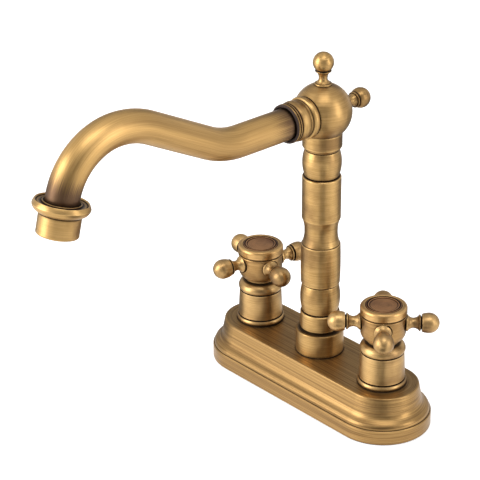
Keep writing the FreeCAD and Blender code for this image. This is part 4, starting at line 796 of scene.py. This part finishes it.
# %% Turn the pieces
FACETS = 96


def put_in_scene(name, mesh):
    piece = bpy.data.objects.new(name, mesh)
    bpy.context.collection.objects.link(piece)
    return piece


def volume_of(mesh):
    solid = bmesh.new()
    solid.from_mesh(mesh)
    volume = solid.calc_volume(signed=True)
    solid.free()
    return volume


def turned_mesh(node, centre, axis, material, facets=FACETS, radius=CORNER_RADIUS, sink=None):
    mesh = made_by(lathe, outline_mesh(node, centre, axis, radius, sink),
                   {"Facets": facets, "Ring Radius": RING, "Material": material})
    faces_out(mesh)
    lay_turning_map(mesh)
    mesh.transform(Matrix.Translation(centre) @ frame_of(axis).to_4x4())
    return mesh


def stand_in(piece, body, slot, *replaced):
    """The piece rides on its body and stands for the model's own solids. The slot is not used."""
    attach(piece, body)
    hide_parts(*replaced)


def turn(node, centre, axis, body, material=brass_turned, slot="antique_brass", **sizes):
    mesh = turned_mesh(node, centre, axis, material, **sizes)
    ratio = volume_of(mesh) / volume_of(nodes[node].data)
    piece = put_in_scene("finished_" + node, mesh)
    stand_in(piece, body, slot, node)
    print(f"{piece.name:26s} {len(mesh.polygons):6d} faces, volume {100 * ratio:6.2f} % of the model's")
    return piece


turn("spout_nut", column_axis, UP, "base")
for name in ("column_foot", "lower_bead", "column_sleeve", "upper_bead", "head_collar", "top_finial"):
    turn(name, column_axis, UP, "spout")
turn("rear_finial", head_middle, BACK, "spout")
turn("spout_collar", head_middle, FRONT, "spout")
turn("spout_nozzle", nozzle_middle, nozzle_axis, "spout", brass_nozzle)
turn("aerator_housing", nozzle_middle, nozzle_axis, "spout")
for side, place in handle_axis.items():
    turn(f"{side}_bell", place, UP, "base", lit_brass_handle)
    turn(f"{side}_cap", place, UP, f"{side}_handle", lit_brass_cap)
    turn(f"{side}_index_disc", place, UP, f"{side}_handle", brass_index, "dark_patina", radius=0.0001)

# %% [markdown]
# ## Cross handles
#
# Each handle has four equal arms: a flared foot, a waisted neck, a fine ring and a ball. One arm is turned,
# and a second tree sets four of it round the hub, as a jig would at the bench. Four turned arms would do as
# well, but instances keep the pattern exact and the script short. They become real geometry at the end,
# because instances are lost on export.

# %% Four arms round a hub
cross, given, taken = geometry_tree("cross", {"Arms": "NodeSocketInt", "Material": "NodeSocketMaterial"})
spots = add(cross, "GeometryNodeMeshCircle", {"Vertices": given["Arms"], "Radius": 0.001}).outputs[0]
step = math_node(cross, "DIVIDE", 2 * math.pi, given["Arms"])
index = add(cross, "GeometryNodeInputIndex").outputs[0]
angle = math_node(cross, "MULTIPLY", index, step)
turning = add(cross, "ShaderNodeCombineXYZ", {2: angle}).outputs[0]
centred = add(cross, "GeometryNodeSetPosition", {"Geometry": spots, "Position": (0, 0, 0)}).outputs[0]
copies = add(cross, "GeometryNodeInstanceOnPoints",
             {"Points": centred, "Instance": given["Geometry"], "Rotation": turning}).outputs[0]
real = add(cross, "GeometryNodeRealizeInstances", {"Geometry": copies}).outputs[0]
painted = add(cross, "GeometryNodeSetMaterial", {"Geometry": real, "Material": given["Material"]}).outputs[0]
cross.links.new(painted, taken[0])

for side, place in handle_axis.items():
    hub_middle = place + UP * arm_height
    arm_nodes = [f"{side}_arm_{number + 1}" for number in range(ARMS_PER_HANDLE)]
    reach = flat(middle(arm_nodes[0]) - place)
    arm = turned_mesh(arm_nodes[0], hub_middle, reach, lit_brass_handle, facets=72)
    arm.transform(Matrix.Translation(-hub_middle))
    arms = made_by(cross, arm, {"Arms": ARMS_PER_HANDLE, "Material": lit_brass_handle})
    arms.transform(Matrix.Translation(hub_middle))
    piece = put_in_scene(f"{side}_arms", arms)
    stand_in(piece, f"{side}_handle", "antique_brass", *arm_nodes)
    print(piece.name, len(arms.polygons), "faces, first arm at",
          round(math.degrees(math.atan2(reach.y, reach.x)), 1), "degrees")

# %% [markdown]
# ## Swan neck
#
# The spout is a drawn tube that was bent, then brushed along its length, so its lines follow the bend. The
# model's surface is already right, and it only needs to know where each point lies: how far along the middle
# line, and on which side of it. The middle line is found from the skin itself, because a point of the skin
# that is moved inwards by the radius lands on it. A Curve to Mesh sweep would carry the same facts, but it
# would have to be given the bends again, and here they come from the model.

# %% Lay the brush lines along the spout
def skin_of(mesh):
    """Each face corner's place and normal, and each vertex's place."""
    places = np.array([v.co for v in mesh.vertices])
    corner_vertex = np.empty(len(mesh.loops), np.int32)
    mesh.loops.foreach_get("vertex_index", corner_vertex)
    return places[corner_vertex], np.array([n.vector for n in mesh.corner_normals]), places


def middle_line(mesh, step=0.0008):
    """Points, directions and distances along the middle of a tube that bends in the plane x = 0."""
    skin, normals, places = skin_of(mesh)
    radius = places[:, 0].max()
    inner = skin - radius * normals
    across = np.hypot(normals[:, 1], normals[:, 2])
    sure = (np.abs(inner[:, 0]) < 1e-5) & (np.abs(skin[:, 0]) > 0.3 * radius) & (across > 0.3)
    line, side = inner[sure][:, 1:], normals[sure][:, 1:] / across[sure][:, None]
    way = np.stack([side[:, 1], -side[:, 0]], axis=1)
    way *= -np.sign(way[:, :1])
    order = np.argsort(-line[:, 0])
    line, way = line[order], way[order]
    fresh = np.append(True, np.diff(line[:, 0]) < -1e-4)
    line, way = line[fresh], way[fresh]
    points, ways = [], []
    for a, b, ta, tb in zip(line, line[1:], way, way[1:]):
        chord = np.hypot(*(b - a))
        for t in np.linspace(0, 1, max(2, int(chord / step)), endpoint=False):
            points.append((2 * t ** 3 - 3 * t ** 2 + 1) * a + (t ** 3 - 2 * t ** 2 + t) * chord * ta
                          + (3 * t ** 2 - 2 * t ** 3) * b + (t ** 3 - t ** 2) * chord * tb)
            turned_way = (1 - t) * ta + t * tb
            ways.append(turned_way / np.hypot(*turned_way))
    points, ways = np.array(points + [line[-1]]), np.array(ways + [way[-1]])
    along = np.append(0, np.cumsum(np.hypot(*np.diff(points, axis=0).T)))
    return points, ways, along


tube_mesh = nodes["spout_tube"].data.copy()
line, ways, along = middle_line(tube_mesh)
places = np.array([v.co for v in tube_mesh.vertices])
nearest = np.argmin(((places[:, None, 1:] - line[None]) ** 2).sum(axis=2), axis=1)
offset = places[:, 1:] - line[nearest]
forward = (offset * ways[nearest]).sum(axis=1)
above = offset[:, 1] * -ways[nearest][:, 0] + offset[:, 0] * ways[nearest][:, 1]
turn_angle = np.arctan2(places[:, 0], above)
lies_at = np.stack([np.cos(turn_angle), np.sin(turn_angle), along[nearest] + forward], axis=1)
runs = np.stack([np.zeros(len(places)), ways[nearest][:, 0], ways[nearest][:, 1]], axis=1)
for label, values in (("lies_at", lies_at), ("runs", runs)):
    tube_mesh.attributes.new(label, "FLOAT_VECTOR", "POINT").data.foreach_set(
        "vector", values.astype(np.float32).ravel())
hidden_start = line[0][0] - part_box("spout_collar")[0][1]
print("spout tube", round(1000 * along[-1]), "mm along its middle line,", len(line), "points,",
      round(1000 * hidden_start), "mm inside the collar")

# %% Brush and stain the spout
GRAIN_ROUND, GRAIN_ALONG = 34.0, 30.0               # many fine lines round the tube, each long
CLOUD_ROUND, CLOUD_ALONG = 1.4, 13.0                # a few broad clouds
STAINED_AT_COLLAR, CLEAR_OF_COLLAR = 0.001, 0.018   # metres out of the collar
CLEAR_OF_NOZZLE, STAINED_AT_NOZZLE = 0.022, 0.010   # metres before the tube's end
STAIN_SHOWS = 0.92

lit_brass_spout, tree, bsdf = new_material("lit_brass_spout")
lies = add(tree, "ShaderNodeAttribute", attribute_name="lies_at").outputs["Vector"]
split = add(tree, "ShaderNodeSeparateXYZ", {0: lies})
spot = vector_node(tree, "MULTIPLY", lies, (GRAIN_ROUND, GRAIN_ROUND, GRAIN_ALONG))
grain = add(tree, "ShaderNodeTexNoise", {"Vector": spot, "Scale": 1.0, "Detail": 2.0}).outputs[0]
broad = vector_node(tree, "MULTIPLY", lies, (CLOUD_ROUND, CLOUD_ROUND, CLOUD_ALONG))
clouds = add(tree, "ShaderNodeTexNoise", {"Vector": broad, "Scale": 1.0, "Detail": 3.0}).outputs[0]
blotchy = math_node(tree, "ADD", split.outputs[2], spread(tree, grain, 0.2, 0.8, -0.004, 0.004))
near_collar = spread(tree, blotchy, hidden_start + STAINED_AT_COLLAR, hidden_start + CLEAR_OF_COLLAR,
                     STAIN_SHOWS, 0.0)
tube_end = float(along[-1])
near_nozzle = spread(tree, blotchy, tube_end - CLEAR_OF_NOZZLE, tube_end - STAINED_AT_NOZZLE,
                     0.0, STAIN_SHOWS)
# The tone makes a lighter copy of the brass for the spout: painted light.
brass_shader(tree, bsdf, grain, clouds, worn=0.0, contrast=0.25, cloudiness=0.3, tone=(1.10, 1.09, 1.06),
             stain=math_node(tree, "MAXIMUM", near_collar, near_nozzle))
brush_along(tree, bsdf, add(tree, "ShaderNodeAttribute", attribute_name="runs").outputs["Vector"])
tube_mesh.materials.clear()
tube_mesh.materials.append(lit_brass_spout)
stand_in(put_in_scene("finished_spout_tube", tube_mesh), "spout", "antique_brass", "spout_tube")
print(lit_brass_spout.name, "on", len(tube_mesh.polygons), "faces, stained at both ends")

# %% [markdown]
# ## Threaded shanks
#
# Under the basin each inlet is a threaded shank with a backnut. A tap's tail carries a half-inch pipe thread,
# fourteen turns to the inch, cut by a die in one pass. The core is turned like the other pieces, with the
# thread's depth taken off, and a second sweep winds the ridge round it. A bump texture would be cheaper, but
# the thread's silhouette shows against the light.

# %% Cut the threads
PIPE_THREAD_PITCH = 0.0254 / 14
THREAD_DEPTH = 0.0010
POINTS_PER_TURN = 40

winder, given, taken = geometry_tree("thread", {"Turns": "NodeSocketFloat", "Points": "NodeSocketInt",
                                                "Radius": "NodeSocketFloat", "Height": "NodeSocketFloat",
                                                "Material": "NodeSocketMaterial"})
ridge = add(winder, "GeometryNodeMeshToCurve", {"Mesh": given["Geometry"]}).outputs[0]
helix = add(winder, "GeometryNodeCurveSpiral",
            {"Resolution": given["Points"], "Rotations": given["Turns"], "Start Radius": given["Radius"],
             "End Radius": given["Radius"], "Height": given["Height"]}).outputs[0]
upright = add(winder, "GeometryNodeSetCurveNormal", {"Curve": helix}, mode="Z_UP").outputs[0]
wound = add(winder, "GeometryNodeCurveToMesh",
            {"Curve": upright, "Profile Curve": ridge, "Fill Caps": True}).outputs[0]
finish_tree(winder, remember_place(winder, wound), taken, given["Material"])


def thread_mesh(radius, height):
    """A wound ridge with a flat crest, from z = 0 up. An outline point's first number is its depth."""
    foot, crest = 0.46 * PIPE_THREAD_PITCH, 0.08 * PIPE_THREAD_PITCH
    outline = [(THREAD_DEPTH, -foot, 0), (0, -crest, 0), (0, crest, 0), (THREAD_DEPTH, foot, 0)]
    mesh = bpy.data.meshes.new("ridge")
    mesh.from_pydata(outline, [(0, 1), (1, 2), (2, 3), (3, 0)], [])
    return made_by(winder, mesh, {"Turns": height / PIPE_THREAD_PITCH, "Points": POINTS_PER_TURN,
                                  "Radius": radius, "Height": height, "Material": brass_turned})


for side, place in handle_axis.items():
    low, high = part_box(f"{side}_shank")
    radius = (high[0] - low[0]) / 2
    core = turned_mesh(f"{side}_shank", place, UP, brass_turned, sink=(radius, THREAD_DEPTH))
    inset = 0.6 * PIPE_THREAD_PITCH
    ridge = thread_mesh(radius, high[2] - low[2] - 2 * inset)
    ridge.transform(Matrix.Translation(place + UP * (low[2] + inset)))
    faces_out(ridge)
    lay_turning_map(ridge)
    piece = put_in_scene(f"{side}_shank_core", core)
    stand_in(piece, "base", "raw_brass", f"{side}_shank")
    thread = put_in_scene(f"{side}_shank_thread", ridge)
    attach(thread, "base")
    print(piece.name, "core", len(core.polygons), "faces, thread", len(ridge.polygons), "faces, reaches",
          round(1000 * max(math.hypot(v.co.x - place.x, v.co.y) for v in ridge.vertices), 2), "mm")

# %% [markdown]
# ## The plate, the pieces inside, and what holds the tap down
#
# The rest keeps the model's own surface. The plate, the hubs and the head's ball get a brushed brass. What is
# bought in or hidden, such as ceramic cartridges, seals, screws and washers, isn't brushed or darkened, so
# each piece gets a plain material for what it's made of, with a little mottle so that no surface is perfectly
# even. Flat colours would do while it stays hidden, but the handles and the spout can be taken off.

# %% Materials for the rest
def plain(name, colour, roughness, metallic=0.0, mottle=0.12, scale=700.0, sheen=0.5):
    material, tree, bsdf = new_material(name)
    whole = add(tree, "ShaderNodeTexCoord").outputs["Object"]
    noise = add(tree, "ShaderNodeTexNoise", {"Vector": whole, "Scale": scale, "Detail": 2.0}).outputs[0]
    low, high = (tuple(min(1.0, channel * (1 + way * mottle)) for channel in colour) for way in (-1, 1))
    tree.links.new(blend_colour(tree, spread(tree, noise, 0.3, 0.7), low, high), bsdf.inputs["Base Color"])
    rough = spread(tree, noise, 0.3, 0.7, roughness * 0.85, roughness * 1.15)
    tree.links.new(rough, bsdf.inputs["Roughness"])
    bsdf.inputs["Metallic"].default_value = metallic
    bsdf.inputs["Specular IOR Level"].default_value = sheen
    return material


finish_of_slot = {
    # The remaining brass pieces, such as the head's ball, get a darker copy of the brass through its tone:
    # painted shade.
    "antique_brass": loop_brass("shaded_brass_upright", (0, 0, 0), tone=(0.92, 0.91, 0.91)),
    "dark_patina": plain("dark_patina", (0.10, 0.055, 0.032), 0.42, metallic=1.0),
    "raw_brass": plain("raw_brass", (0.50, 0.33, 0.12), 0.32, metallic=1.0),
    "rubber": plain("rubber", (0.020, 0.015, 0.012), 0.75, sheen=0.15),
    "nylon": plain("nylon", (0.72, 0.70, 0.63), 0.45, mottle=0.05),
    "ceramic": plain("ceramic", (0.84, 0.83, 0.80), 0.16, mottle=0.02),
    "stainless": plain("stainless", (0.55, 0.55, 0.53), 0.28, metallic=1.0, mottle=0.06)}
plate_low, plate_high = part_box("base_plate")
plate_half = (plate_high[1] - plate_low[1]) / 2
finish_of_node = {
    # The plate and the hubs get darker copies of the brass through their tone: painted shade.
    "base_plate": loop_brass("shaded_brass_plate", (0, 0, 0), plate_high[0] - plate_half, tone=(0.79, 0.77, 0.77),
                             contrast=0.48, cloudiness=0.6, reach=0.0013),
    "guide_ring": plain("guide_black", (0.050, 0.032, 0.025), 0.7, sheen=0.2),
    "hot_hub": loop_brass("shaded_brass_hot_hub", handle_axis["hot"], tone=(0.88, 0.84, 0.84), contrast=0.5),
    "cold_hub": loop_brass("shaded_brass_cold_hub", handle_axis["cold"], tone=(0.88, 0.84, 0.84), contrast=0.5)}
for part in record["subparts"]:
    node, slot = part["node"], part["material_slot"]
    mesh = nodes[node].data
    mesh.materials.clear()
    mesh.materials.append(finish_of_node.get(node, finish_of_slot[slot]))
print("materials on", len(record["subparts"]), "pieces, plate's straight half",
      round(1000 * (plate_high[0] - plate_half), 1), "mm")
